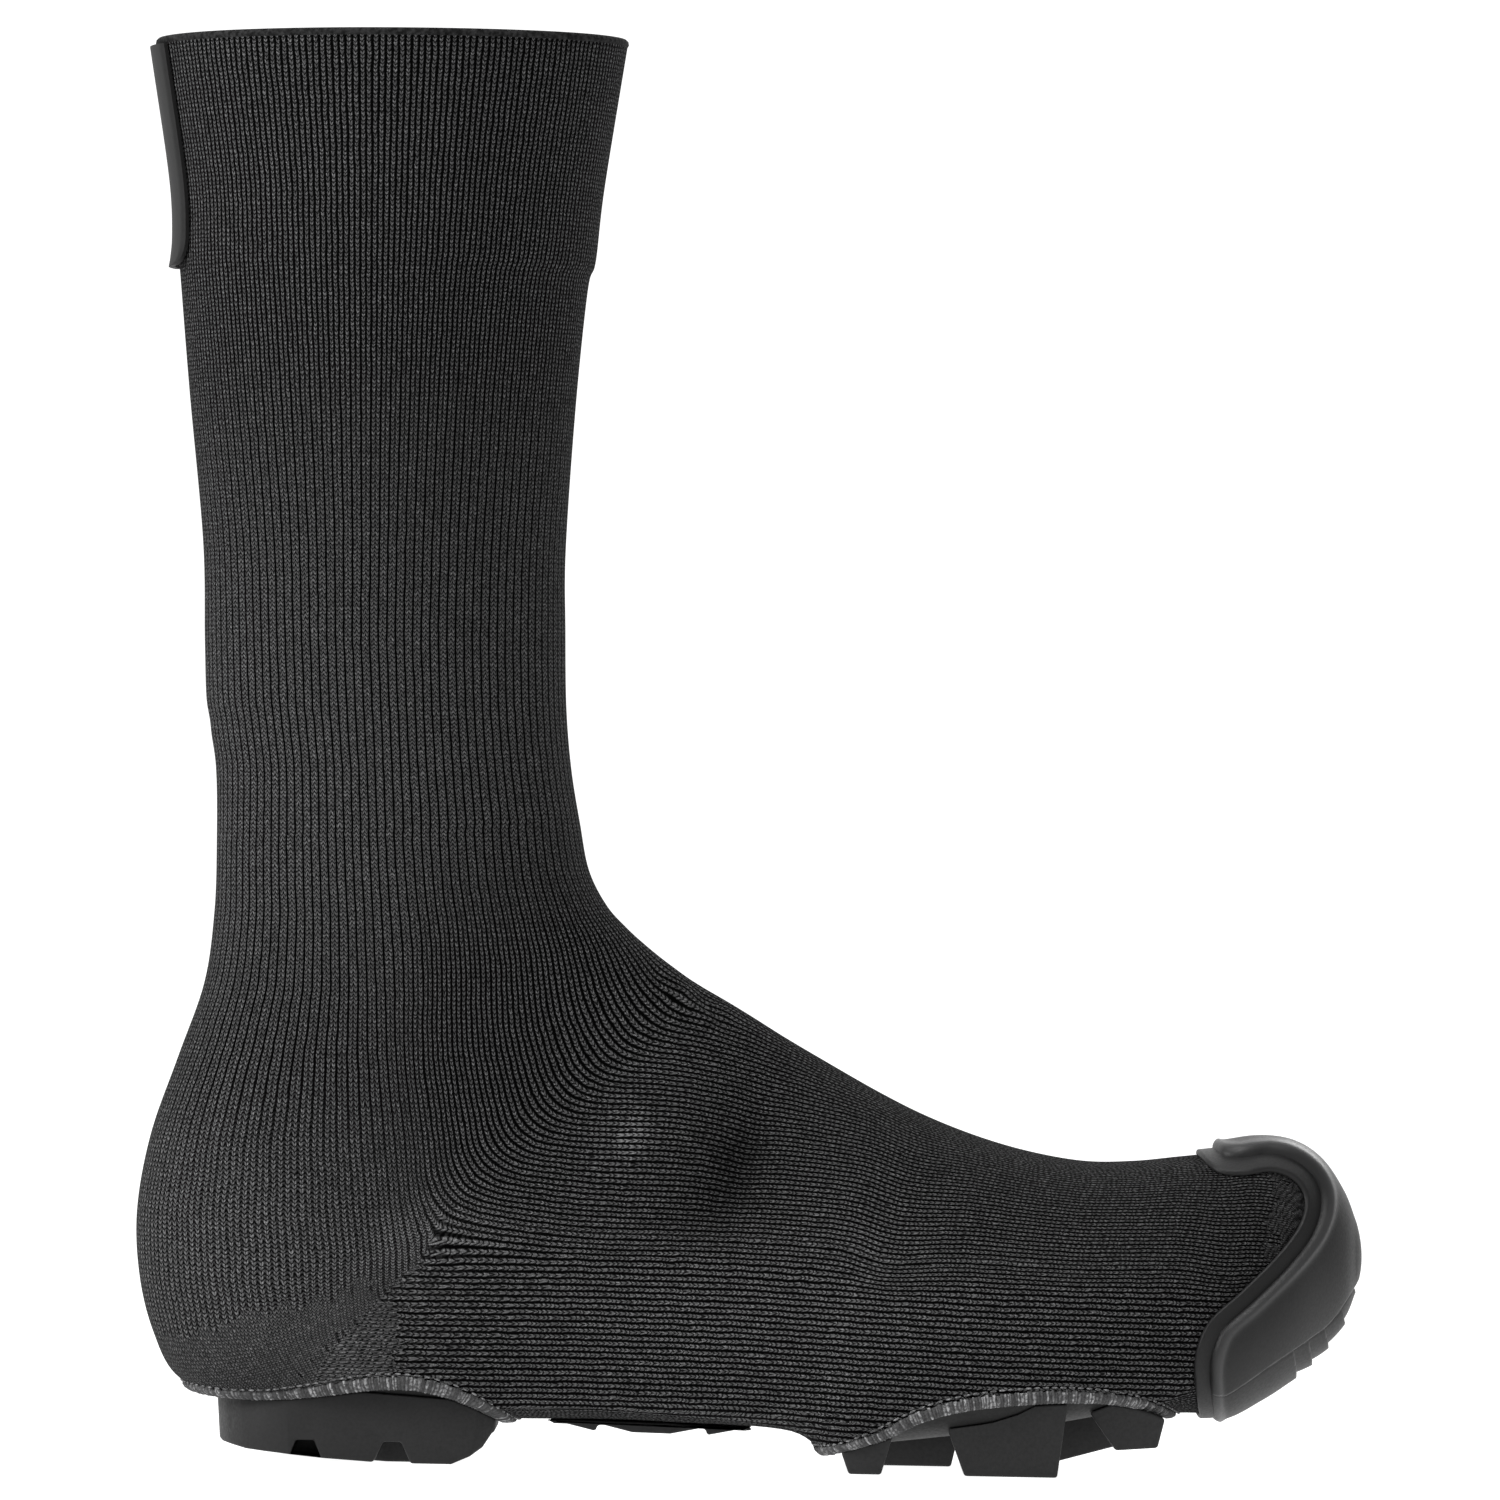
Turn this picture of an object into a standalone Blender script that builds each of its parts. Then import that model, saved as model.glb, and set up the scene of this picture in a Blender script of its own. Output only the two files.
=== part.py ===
"""Knitted cycling overshoe for the right foot, drawn over a lugged sole and standing empty on the floor.

Metres, +Z up. The toe points to +X and the outer side of the foot is towards -Y. The origin is on the
floor under the middle of the overshoe.
"""

from collections import namedtuple
import math

import bmesh
import bpy
from mathutils import Vector

MM = 0.001

# Driving dimensions. Tables below give places along the foot in percent of LENGTH (0 at the heel),
# heights in percent of INSTEP_HEIGHT and widths in percent of BALL_WIDTH.
LENGTH = 300 * MM
INSTEP_HEIGHT = 112 * MM
BALL_WIDTH = 104 * MM

KNIT_WALL = 1.8 * MM
GAP = 0.3 * MM
HEM_WIDTH = 3.4 * MM
HEM_PROUD = 0.6 * MM

CAP_FLANGE = 1.0 * MM
CAP_PANEL = 2.6 * MM
CAP_TREAD = 3.3 * MM
CAP_FLANGE_WIDTH = 3.5 * MM

LABEL_THICKNESS = 1.7 * MM
LABEL_HALF_WIDTH = 17.5 * MM
LABEL_BOTTOM = 291.4 * MM
LABEL_TOP = 345.0 * MM
LABEL_CORNER = 6 * MM

HEEL_REAR = -128.5 * MM
HEEL_FRONT = -58.5 * MM
HEEL_HALF_WIDTH = 30 * MM
HEEL_ROUND_DEPTH = 27 * MM
HEEL_FRONT_CORNER = 5 * MM
HEEL_DRAFT = 1.6 * MM
HEEL_NOTCH_DEPTH = 13 * MM
HEEL_NOTCH_HEIGHT = 5.2 * MM
HEEL_CHANNEL_HALF_WIDTH = 8 * MM
HEEL_CHANNEL_HEIGHT = 4 * MM

ARCH_TREAD_CENTRE = -21.6 * MM
ARCH_TREAD_HALF_LENGTH = 25.2 * MM
ARCH_TREAD_HALF_WIDTH = 19 * MM
ARCH_TREAD_BASE = 9.7 * MM
ARCH_TREAD_SLOPE = -0.018
ARCH_TREAD_TIP = 8.2 * MM

LUG_DRAFT = 1.7 * MM
FLOOR_CLEARANCE = 20 * MM
SIDE_REACH = 80 * MM
SMOOTH_STEPS = 3
AROUND = 36

# A section runs from the front or instep line to the back or sole line. Columns: where it starts and ends,
# its half width, how far its middle leans to the inner side, where along the section it is widest, and how
# square its two ends are (2 is an ellipse).
Section = namedtuple(
    "Section", "name front_at front_up back_at back_up half_width lean widest front_power back_power")

SECTIONS = [
    Section("collar", 38.7, 310.4, 0.2, 308.7, 49.0, 0.0, 0.52, 2.0, 2.0),
    Section("cuff_middle", 37.0, 278.6, 2.1, 277.7, 47.2, 0.0, 0.52, 2.0, 2.0),
    Section("cuff_edge", 36.4, 262.5, 2.4, 261.6, 46.5, 0.0, 0.52, 2.0, 2.0),
    Section("cuff_foot", 35.8, 256.3, 2.6, 255.4, 45.5, 0.0, 0.52, 2.0, 2.0),
    Section("calf", 35.0, 231.2, 3.5, 231.2, 42.6, 0.0, 0.52, 2.0, 2.0),
    Section("shin", 34.4, 199.6, 4.8, 199.6, 39.0, 0.0, 0.52, 2.0, 2.0),
    Section("shin_low", 34.5, 181.7, 5.1, 177.7, 37.3, 0.0, 0.52, 2.0, 2.0),
    Section("ankle_high", 34.7, 164.8, 5.4, 163.0, 36.4, 0.0, 0.52, 2.0, 2.0),
    Section("ankle", 35.2, 151.4, 6.2, 150.5, 36.2, 0.0, 0.52, 2.0, 2.0),
    Section("ankle_low", 36.0, 139.5, 6.4, 132.6, 36.6, 0.0, 0.52, 2.0, 2.1),
    Section("bend_high", 36.8, 129.4, 6.3, 118.3, 37.2, 0.0, 0.51, 2.0, 2.1),
    Section("bend", 38.3, 121.8, 5.6, 103.2, 37.7, 0.0, 0.50, 2.0, 2.2),
    Section("bend_low", 40.0, 116.9, 3.6, 87.1, 38.2, 0.0, 0.50, 2.0, 2.2),
    Section("heel_high", 41.5, 113.4, 1.5, 70.1, 38.3, 0.0, 0.51, 2.0, 2.3),
    Section("heel_back", 42.7, 110.8, 0.5, 53.6, 38.1, 0.0, 0.53, 2.0, 2.4),
    Section("heel_low", 43.8, 108.6, 0.8, 39.3, 37.8, 0.0, 0.56, 2.0, 2.5),
    Section("heel_turn", 44.9, 106.6, 2.0, 27.2, 37.4, 0.0, 0.59, 2.0, 2.7),
    Section("heel_corner", 46.0, 104.9, 4.1, 17.4, 37.1, 0.0, 0.62, 2.0, 3.1),
    Section("heel_seat_rear", 47.1, 103.2, 8.6, 12.7, 36.8, -0.4, 0.64, 2.0, 4.0),
    Section("heel_seat", 48.5, 101.0, 17.0, 11.4, 36.2, -1.0, 0.65, 2.0, 4.4),
    Section("heel_seat_front", 50.4, 98.0, 26.8, 9.8, 36.0, -1.8, 0.67, 2.0, 4.0),
    Section("arch_rear", 53.0, 93.8, 36.3, 9.8, 36.3, -2.4, 0.69, 2.0, 3.6),
    Section("arch", 56.3, 88.8, 44.3, 9.6, 38.4, -2.6, 0.70, 2.0, 3.6),
    Section("arch_front", 60.8, 82.2, 53.8, 8.4, 42.0, -3.0, 0.70, 2.1, 4.0),
    Section("ball_rear", 64.7, 77.2, 57.8, 3.2, 46.4, -3.2, 0.70, 2.1, 4.6),
    Section("ball_outer", 69.0, 72.9, 64.3, 5.4, 48.9, -1.0, 0.70, 2.2, 5.0),
    Section("ball_inner", 73.3, 69.8, 70.3, 7.2, 48.9, 1.0, 0.70, 2.2, 5.0),
    Section("ball_front", 77.7, 68.0, 76.0, 9.4, 47.2, 2.4, 0.69, 2.2, 4.6),
    Section("toe_root", 81.7, 68.2, 81.0, 11.8, 44.4, 3.8, 0.67, 2.2, 4.0),
    Section("toe_box_rear", 85.3, 69.3, 85.3, 13.4, 40.6, 4.8, 0.64, 2.2, 3.2),
    Section("toe_box", 88.7, 70.4, 89.0, 13.9, 36.2, 5.4, 0.60, 2.2, 2.8),
    Section("toe_box_front", 91.7, 71.7, 91.9, 18.4, 31.4, 5.8, 0.57, 2.2, 2.6),
    Section("toe_rise", 94.4, 71.0, 94.4, 23.6, 25.6, 6.0, 0.54, 2.2, 2.4),
    Section("toe_round", 96.4, 67.6, 96.6, 29.7, 18.8, 6.2, 0.52, 2.2, 2.2),
    Section("toe_nose", 98.0, 61.1, 98.1, 35.4, 12.0, 6.2, 0.50, 2.1, 2.1),
    Section("toe_front", 98.9, 55.0, 98.9, 41.2, 5.8, 6.2, 0.50, 2.0, 2.0),
]
TOE_TIP_AT = 99.35
TOE_TIP_UP = 47.6
TOE_TIP_LEAN = 6.2

# Soft swellings where the shoe inside pushes the knit out: place, radius and height.
Swelling = namedtuple("Swelling", "name at up side radius height")

SWELLINGS = [
    Swelling("closure", 42.6, 75.0, -1, 15 * MM, 3.5 * MM),
]

# Edges in the side view, as places along the foot and heights.
HEEL_HEM = [
    (2.7, 16.2), (4.3, 15.4), (8.0, 13.9), (12.0, 13.6), (16.0, 14.5), (20.0, 15.9),
    (23.7, 16.1), (27.3, 13.8), (30.2, 10.2), (31.6, 6.5), (31.9, 2.0),
]
FOREFOOT_HEM = [
    (56.5, 0.0), (56.6, 2.4), (57.0, 3.9), (59.0, 5.6), (62.0, 8.3), (64.3, 11.3), (67.3, 13.8),
    (71.3, 15.4), (76.0, 16.3), (80.0, 16.1), (82.7, 14.8), (84.7, 12.5), (85.3, 8.9), (85.4, 3.6),
]
CAP_EDGE = [
    (85.7, 80.4), (86.4, 72.0), (87.2, 68.6), (88.4, 65.9), (90.3, 65.4), (92.7, 66.3), (94.5, 64.6),
    (95.4, 60.6), (94.9, 54.9), (93.0, 48.2), (90.2, 40.7), (87.7, 34.5), (86.7, 28.6), (86.5, 23.2),
    (86.9, 17.0), (87.5, 11.6), (88.0, 3.6),
]
CAP_SEAM = [(88.2, 19.8), (89.1, 20.0), (92.4, 26.0), (95.8, 32.1), (97.3, 35.7), (99.2, 43.4), (101.0, 50.9)]
TREAD_TIPS = [(87.9, 11.3), (94.8, 20.8), (95.9, 23.6), (97.3, 27.4), (98.5, 31.0), (99.4, 34.5), (100.3, 38.9)]
TREAD_RISE = 2.0
PLATE_TOP = [(-5.0, 24.0), (17.0, 21.9), (37.0, 19.6), (53.0, 18.3), (70.0, 17.4), (82.0, 21.4), (92.0, 29.5),
             (99.0, 43.0), (105.0, 54.0)]

# Floor line of the heel block behind and in front of its flat, in millimetres.
HEEL_REAR_BEVEL = [(-86, 0), (-101, 0.9), (-112, 1.9), (-120, 2.7), (-127.2, 4.3), (-136, 7.6)]
HEEL_FRONT_BEVEL = [(-70, 0), (-65.5, 2.0), (-62.5, 4.2), (-60.3, 7.6), (-50, 14)]

# Heel notches: middle of each notch, half width at its roof and at the floor.
HeelNotch = namedtuple("HeelNotch", "x roof_half floor_half")
HEEL_NOTCHES = [
    HeelNotch(-105.6 * MM, 2.2 * MM, 4.4 * MM),
    HeelNotch(-84.4 * MM, 2.2 * MM, 4.8 * MM),
]

# Forefoot lugs: ends and heights of the floor face, ends at the plate, and the two sides.
Lug = namedtuple("Lug", "name floor_rear floor_front rear_up front_up top_rear top_front outer_side inner_side")
LUGS = [
    Lug("lug_outer_rear", 26.4 * MM, 34.2 * MM, 0, 0, 17.5 * MM, 40.4 * MM, -45 * MM, -21 * MM),
    Lug("lug_outer_ball", 54.4 * MM, 76.8 * MM, 0, 0, 46.0 * MM, 79.5 * MM, -44 * MM, -20 * MM),
    Lug("lug_outer_toe", 91.0 * MM, 101.2 * MM, 6.6 * MM, 7.4 * MM, 80.0 * MM, 104.6 * MM, -35 * MM, -12 * MM),
    Lug("lug_inner_rear", 34.0 * MM, 52.0 * MM, 0, 0, 29.0 * MM, 57.0 * MM, 21 * MM, 43 * MM),
    Lug("lug_inner_ball", 57.5 * MM, 72.0 * MM, 0, 0, 54.0 * MM, 75.5 * MM, 23 * MM, 46 * MM),
    Lug("lug_inner_toe", 78.0 * MM, 98.0 * MM, 1.8 * MM, 7.4 * MM, 74.0 * MM, 102.0 * MM, 20 * MM, 43 * MM),
]
LUG_TOP = 22 * MM


def clear_scene():
    for thing in list(bpy.data.objects):
        bpy.data.objects.remove(thing, do_unlink=True)


def make_material(name, colour, roughness):
    material = bpy.data.materials.new(name)
    material.use_nodes = True
    shader = material.node_tree.nodes["Principled BSDF"]
    shader.inputs["Base Color"].default_value = (*colour, 1.0)
    shader.inputs["Roughness"].default_value = roughness
    shader.inputs["Metallic"].default_value = 0.0
    material.diffuse_color = (*colour, 1.0)
    return material


def side_place(at, up):
    """A place in the side view, from percents to metres."""
    return (at / 100.0 - 0.5) * LENGTH, up / 100.0 * INSTEP_HEIGHT


def row_number(name):
    return [row.name for row in SECTIONS].index(name)


def width(percent):
    return percent / 100.0 * BALL_WIDTH


def rounded(value, power):
    return abs(value) ** (2.0 / power)


def section_loop(row):
    """Points round one section, from the front line round the inner side to the back and home."""
    front_x, front_z = side_place(row.front_at, row.front_up)
    back_x, back_z = side_place(row.back_at, row.back_up)
    points = []
    for step in range(AROUND):
        angle = 2.0 * math.pi * step / AROUND
        ahead = math.cos(angle)
        aside = math.sin(angle)
        if ahead >= 0.0:
            along = row.widest * (1.0 - rounded(ahead, row.front_power))
            across = rounded(aside, row.front_power)
        else:
            along = row.widest + (1.0 - row.widest) * rounded(ahead, row.back_power)
            across = rounded(aside, row.back_power)
        y = width(row.lean) + width(row.half_width) * math.copysign(across, aside)
        points.append(Vector((front_x + (back_x - front_x) * along, y, front_z + (back_z - front_z) * along)))
    return points


def loop_normals(loops, toe_tip):
    """Outward direction at every point of the loops, from its neighbours."""
    normals = []
    for i, loop in enumerate(loops):
        before = loops[max(i - 1, 0)]
        after = loops[i + 1] if i + 1 < len(loops) else [toe_tip] * AROUND
        row = []
        for j in range(AROUND):
            down = after[j] - before[j]
            round_about = loop[(j + 1) % AROUND] - loop[j - 1]
            row.append(down.cross(round_about).normalized())
        normals.append(row)
    return normals


def swelling_height(point):
    total = 0.0
    for swelling in SWELLINGS:
        x, z = side_place(swelling.at, swelling.up)
        if point.y * swelling.side > 0.0:
            reach = ((point.x - x) ** 2 + (point.z - z) ** 2) / swelling.radius ** 2
            total += swelling.height * math.exp(-reach)
    return total


def upper_loops(offset):
    """Loops of the knit's outer face moved out by offset, with the tip of the toe."""
    x, z = side_place(TOE_TIP_AT, TOE_TIP_UP)
    toe_tip = Vector((x, width(TOE_TIP_LEAN), z))
    loops = [section_loop(row) for row in SECTIONS]
    normals = loop_normals(loops, toe_tip)
    moved = []
    for loop, row_normals in zip(loops, normals):
        moved.append([p + n * (offset + swelling_height(p)) for p, n in zip(loop, row_normals)])
    return moved, toe_tip + Vector((offset, 0.0, 0.0))


def link_mesh(name, bm, material):
    mesh = bpy.data.meshes.new(name)
    bm.to_mesh(mesh)
    bm.free()
    thing = bpy.data.objects.new(name, mesh)
    bpy.context.scene.collection.objects.link(thing)
    if material is not None:
        mesh.materials.append(material)
    return thing


def as_cutter(thing):
    thing.hide_render = True
    thing.display_type = "WIRE"
    return thing


def loop_faces(bm, loops):
    rings = [[bm.verts.new(p) for p in loop] for loop in loops]
    for upper_ring, lower_ring in zip(rings, rings[1:]):
        for j in range(AROUND):
            k = (j + 1) % AROUND
            bm.faces.new((upper_ring[j], lower_ring[j], lower_ring[k], upper_ring[k]))
    return rings


def close_toe(bm, ring, toe_tip):
    tip = bm.verts.new(toe_tip)
    for j in range(AROUND):
        bm.faces.new((ring[j], tip, ring[(j + 1) % AROUND]))


def closed_form(name, offset, first, material=None):
    """A filled body under the moved face of the knit, from one section to the toe."""
    loops, toe_tip = upper_loops(offset)
    bm = bmesh.new()
    rings = loop_faces(bm, loops[row_number(first):])
    close_toe(bm, rings[-1], toe_tip)
    bm.faces.new(rings[0])
    bmesh.ops.recalc_face_normals(bm, faces=bm.faces)
    return link_mesh(name, bm, material)


def sheet(name, offset, first, last, material):
    """An open sheet on the moved face of the knit, between two sections."""
    loops, _toe_tip = upper_loops(offset)
    bm = bmesh.new()
    loop_faces(bm, loops[row_number(first):row_number(last) + 1])
    return link_mesh(name, bm, material)


def thicken(thing, thickness):
    modifier = thing.modifiers.new("wall", "SOLIDIFY")
    modifier.thickness = thickness
    modifier.offset = -1.0
    modifier.use_even_offset = True


def boolean(thing, other, operation):
    modifier = thing.modifiers.new(other.name, "BOOLEAN")
    modifier.operation = operation
    modifier.solver = "EXACT"
    modifier.object = other


def smooth_line(places):
    """A smooth line through places in the side view, in metres."""
    knots = [Vector(side_place(at, up)) for at, up in places]
    padded = [2.0 * knots[0] - knots[1], *knots, 2.0 * knots[-1] - knots[-2]]
    line = []
    for a, b, c, d in zip(padded, padded[1:], padded[2:], padded[3:]):
        for step in range(SMOOTH_STEPS):
            t = step / SMOOTH_STEPS
            line.append(0.5 * (2.0 * b + (c - a) * t + (2.0 * a - 5.0 * b + 4.0 * c - d) * t * t
                               + (3.0 * b - 3.0 * c + d - a) * t ** 3))
    line.append(knots[-1])
    return line


def parallel_line(line, distance):
    """The line moved to its left by distance."""
    moved = []
    for i, point in enumerate(line):
        before = line[max(i - 1, 0)]
        after = line[min(i + 1, len(line) - 1)]
        ahead = (after - before).normalized()
        moved.append(point + distance * Vector((-ahead.y, ahead.x)))
    return moved


def prism(name, outline, low, high, place):
    """A cutter with a flat outline, drawn out between two depths; place turns the three into a point."""
    bm = bmesh.new()
    near = [bm.verts.new(place(a, b, low)) for a, b in outline]
    far = [bm.verts.new(place(a, b, high)) for a, b in outline]
    bm.faces.new(near)
    bm.faces.new(list(reversed(far)))
    for j in range(len(outline)):
        k = (j + 1) % len(outline)
        bm.faces.new((near[j], far[j], far[k], near[k]))
    bmesh.ops.recalc_face_normals(bm, faces=bm.faces)
    return as_cutter(link_mesh(name, bm, None))


def side_prism(name, outline, near=-SIDE_REACH, far=SIDE_REACH):
    return prism(name, outline, near, far, lambda x, z, y: Vector((x, y, z)))


def opening_prism(name, hem, grow):
    """All that lies under a hem line, with the line moved out by grow."""
    line = parallel_line(smooth_line(hem), grow)
    first_drop = Vector((line[0].x, -FLOOR_CLEARANCE))
    last_drop = Vector((line[-1].x, -FLOOR_CLEARANCE))
    if hem is HEEL_HEM:
        behind = -0.6 * LENGTH
        start = [Vector((behind, -FLOOR_CLEARANCE)), Vector((behind, line[0].y))]
    else:
        start = [first_drop]
    return side_prism(name, [*start, *line, last_drop])


def hem(name, hem_line, first, last, material):
    """A band round an opening, flush inside the knit and a little proud of it outside."""
    band = sheet(name, HEM_PROUD, first, last, material)
    thicken(band, KNIT_WALL + HEM_PROUD)
    boolean(band, opening_prism(name + "_outer_cut", hem_line, HEM_WIDTH), "INTERSECT")
    boolean(band, opening_prism(name + "_inner_cut", hem_line, 0.0), "DIFFERENCE")
    return band


def upper(material):
    loops, toe_tip = upper_loops(0.0)
    bm = bmesh.new()
    rings = loop_faces(bm, loops)
    close_toe(bm, rings[-1], toe_tip)
    knit = link_mesh("upper", bm, material)
    thicken(knit, KNIT_WALL)
    boolean(knit, opening_prism("heel_opening", HEEL_HEM, HEM_WIDTH + GAP), "DIFFERENCE")
    boolean(knit, opening_prism("forefoot_opening", FOREFOOT_HEM, HEM_WIDTH + GAP), "DIFFERENCE")
    return knit


def cap_prism(name, inset):
    line = parallel_line(smooth_line(CAP_EDGE), inset)
    ahead = 0.6 * LENGTH
    return side_prism(name, [*line, Vector((ahead, line[-1].y)), Vector((ahead, line[0].y))])


def tread_prism():
    """The toe tread seen from the side: under the seam, with a step at each tooth."""
    outline = [Vector(side_place(at, up)) for at, up in CAP_SEAM]
    steps = []
    for at, up in TREAD_TIPS:
        steps.append(Vector(side_place(at, up)))
        steps.append(Vector(side_place(at + 0.15, up + TREAD_RISE)))
    return side_prism("cap_tread_cut", [*outline, *reversed(steps[:-1])])


def toe_cap(material):
    cap = closed_form("toe_cap", GAP + CAP_PANEL, "ball_front", material)
    boolean(cap, cap_prism("cap_panel_cut", CAP_FLANGE_WIDTH), "INTERSECT")
    flange = as_cutter(closed_form("cap_flange_form", GAP + CAP_FLANGE, "ball_front"))
    boolean(flange, cap_prism("cap_flange_cut", 0.0), "INTERSECT")
    boolean(cap, flange, "UNION")
    tread = as_cutter(closed_form("cap_tread_form", GAP + CAP_TREAD, "ball_front"))
    boolean(tread, tread_prism(), "INTERSECT")
    boolean(cap, tread, "UNION")
    boolean(cap, as_cutter(closed_form("cap_inside_form", GAP, "ball_front")), "DIFFERENCE")
    return cap


def back_label(material):
    label = sheet("back_label", GAP + LABEL_THICKNESS, "collar", "calf", material)
    thicken(label, LABEL_THICKNESS)
    outline = [(-LABEL_HALF_WIDTH, LABEL_TOP), (LABEL_HALF_WIDTH, LABEL_TOP)]
    for side in (1, -1):
        turns = (0.0, 0.25, 0.5, 0.75, 1.0)
        for turn in turns if side == 1 else reversed(turns):
            angle = turn * math.pi / 2.0
            y = LABEL_HALF_WIDTH - LABEL_CORNER * (1.0 - math.cos(angle))
            z = LABEL_BOTTOM + LABEL_CORNER * (1.0 - math.sin(angle))
            outline.append((side * y, z))
    cut = prism("label_cut", outline, -0.6 * LENGTH, -0.4 * LENGTH, lambda y, z, x: Vector((x, y, z)))
    boolean(label, cut, "INTERSECT")
    return label


def sole_plate(material):
    plate = closed_form("sole_plate", -KNIT_WALL - GAP, "heel_high", material)
    line = [Vector(side_place(at, up)) for at, up in PLATE_TOP]
    outline = [Vector((line[0].x, -FLOOR_CLEARANCE)), *line, Vector((line[-1].x, -FLOOR_CLEARANCE))]
    boolean(plate, side_prism("plate_cut", outline), "INTERSECT")
    return plate


def heel_plan(inset):
    """Outline of the heel block on the floor: round behind, square with small corners in front."""
    half = HEEL_HALF_WIDTH - inset
    rear = HEEL_REAR + inset
    front = HEEL_FRONT - inset
    centre = HEEL_REAR + HEEL_ROUND_DEPTH
    plan = []
    turns = 12
    for step in range(turns + 1):
        angle = math.pi * (0.5 + step / turns)
        x = centre + (centre - rear) * math.copysign(rounded(math.cos(angle), 2.4), math.cos(angle))
        plan.append((x, half * math.copysign(rounded(math.sin(angle), 2.4), math.sin(angle))))
    plan.append((front - HEEL_FRONT_CORNER, -half))
    plan.append((front, -half + HEEL_FRONT_CORNER))
    plan.append((front, half - HEEL_FRONT_CORNER))
    plan.append((front - HEEL_FRONT_CORNER, half))
    return plan


def heel_block(material):
    top = 22 * MM
    bm = bmesh.new()
    low = [bm.verts.new((x, y, 0.0)) for x, y in heel_plan(HEEL_DRAFT)]
    high = [bm.verts.new((x, y, top)) for x, y in heel_plan(0.0)]
    bm.faces.new(low)
    bm.faces.new(list(reversed(high)))
    for j in range(len(low)):
        k = (j + 1) % len(low)
        bm.faces.new((low[j], high[j], high[k], low[k]))
    bmesh.ops.recalc_face_normals(bm, faces=bm.faces)
    return link_mesh("heel_tread", bm, material)


def heel_bevels():
    """Wedges off the rear and the front of the heel block's floor face."""
    below = -FLOOR_CLEARANCE
    rear = [(x * MM, z * MM) for x, z in HEEL_REAR_BEVEL]
    front = [(x * MM, z * MM) for x, z in HEEL_FRONT_BEVEL]
    rear_cut = side_prism("heel_rear_bevel", [*rear, (rear[-1][0], below), (rear[0][0], below)])
    front_cut = side_prism("heel_front_bevel", [*front, (front[-1][0], below), (front[0][0], below)])
    return rear_cut, front_cut


def heel_notch(number, notch, side):
    outline = [
        (notch.x - notch.floor_half, -FLOOR_CLEARANCE), (notch.x - notch.floor_half, -0.5 * MM),
        (notch.x - notch.roof_half, HEEL_NOTCH_HEIGHT), (notch.x + notch.roof_half, HEEL_NOTCH_HEIGHT),
        (notch.x + notch.floor_half, -0.5 * MM), (notch.x + notch.floor_half, -FLOOR_CLEARANCE),
    ]
    inner = side * (HEEL_HALF_WIDTH - HEEL_NOTCH_DEPTH)
    return side_prism(f"heel_notch_{number}", outline, inner, side * SIDE_REACH)


def heel_tread(material, plate_clear, opening):
    block = heel_block(material)
    for bevel in heel_bevels():
        boolean(block, bevel, "DIFFERENCE")
    number = 0
    for notch in HEEL_NOTCHES:
        for side in (-1, 1):
            number += 1
            boolean(block, heel_notch(number, notch, side), "DIFFERENCE")
    channel = [(-0.115, -FLOOR_CLEARANCE), (-0.108, HEEL_CHANNEL_HEIGHT), (0.0, HEEL_CHANNEL_HEIGHT),
               (0.0, -FLOOR_CLEARANCE)]
    cut = side_prism("heel_channel", channel, -HEEL_CHANNEL_HALF_WIDTH, HEEL_CHANNEL_HALF_WIDTH)
    boolean(block, cut, "DIFFERENCE")
    boolean(block, opening, "INTERSECT")
    boolean(block, plate_clear, "DIFFERENCE")
    return block


def lug(row, material, plate_clear, opening):
    """A tapered block that stands under the plate."""
    bm = bmesh.new()
    low_ends = ((row.floor_rear, row.rear_up), (row.floor_front, row.front_up))
    high_ends = ((row.top_rear, LUG_TOP), (row.top_front, LUG_TOP))
    rings = []
    for ends, inset in ((low_ends, LUG_DRAFT), (high_ends, -LUG_DRAFT)):
        ring = []
        for (x, z), y in ((ends[0], row.outer_side + inset), (ends[1], row.outer_side + inset),
                          (ends[1], row.inner_side - inset), (ends[0], row.inner_side - inset)):
            ring.append(bm.verts.new((x, y, z)))
        rings.append(ring)
    low, high = rings
    bm.faces.new(low)
    bm.faces.new(list(reversed(high)))
    for j in range(4):
        k = (j + 1) % 4
        bm.faces.new((low[j], high[j], high[k], low[k]))
    bmesh.ops.recalc_face_normals(bm, faces=bm.faces)
    block = link_mesh(row.name, bm, material)
    boolean(block, opening, "INTERSECT")
    boolean(block, plate_clear, "DIFFERENCE")
    return block


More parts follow.
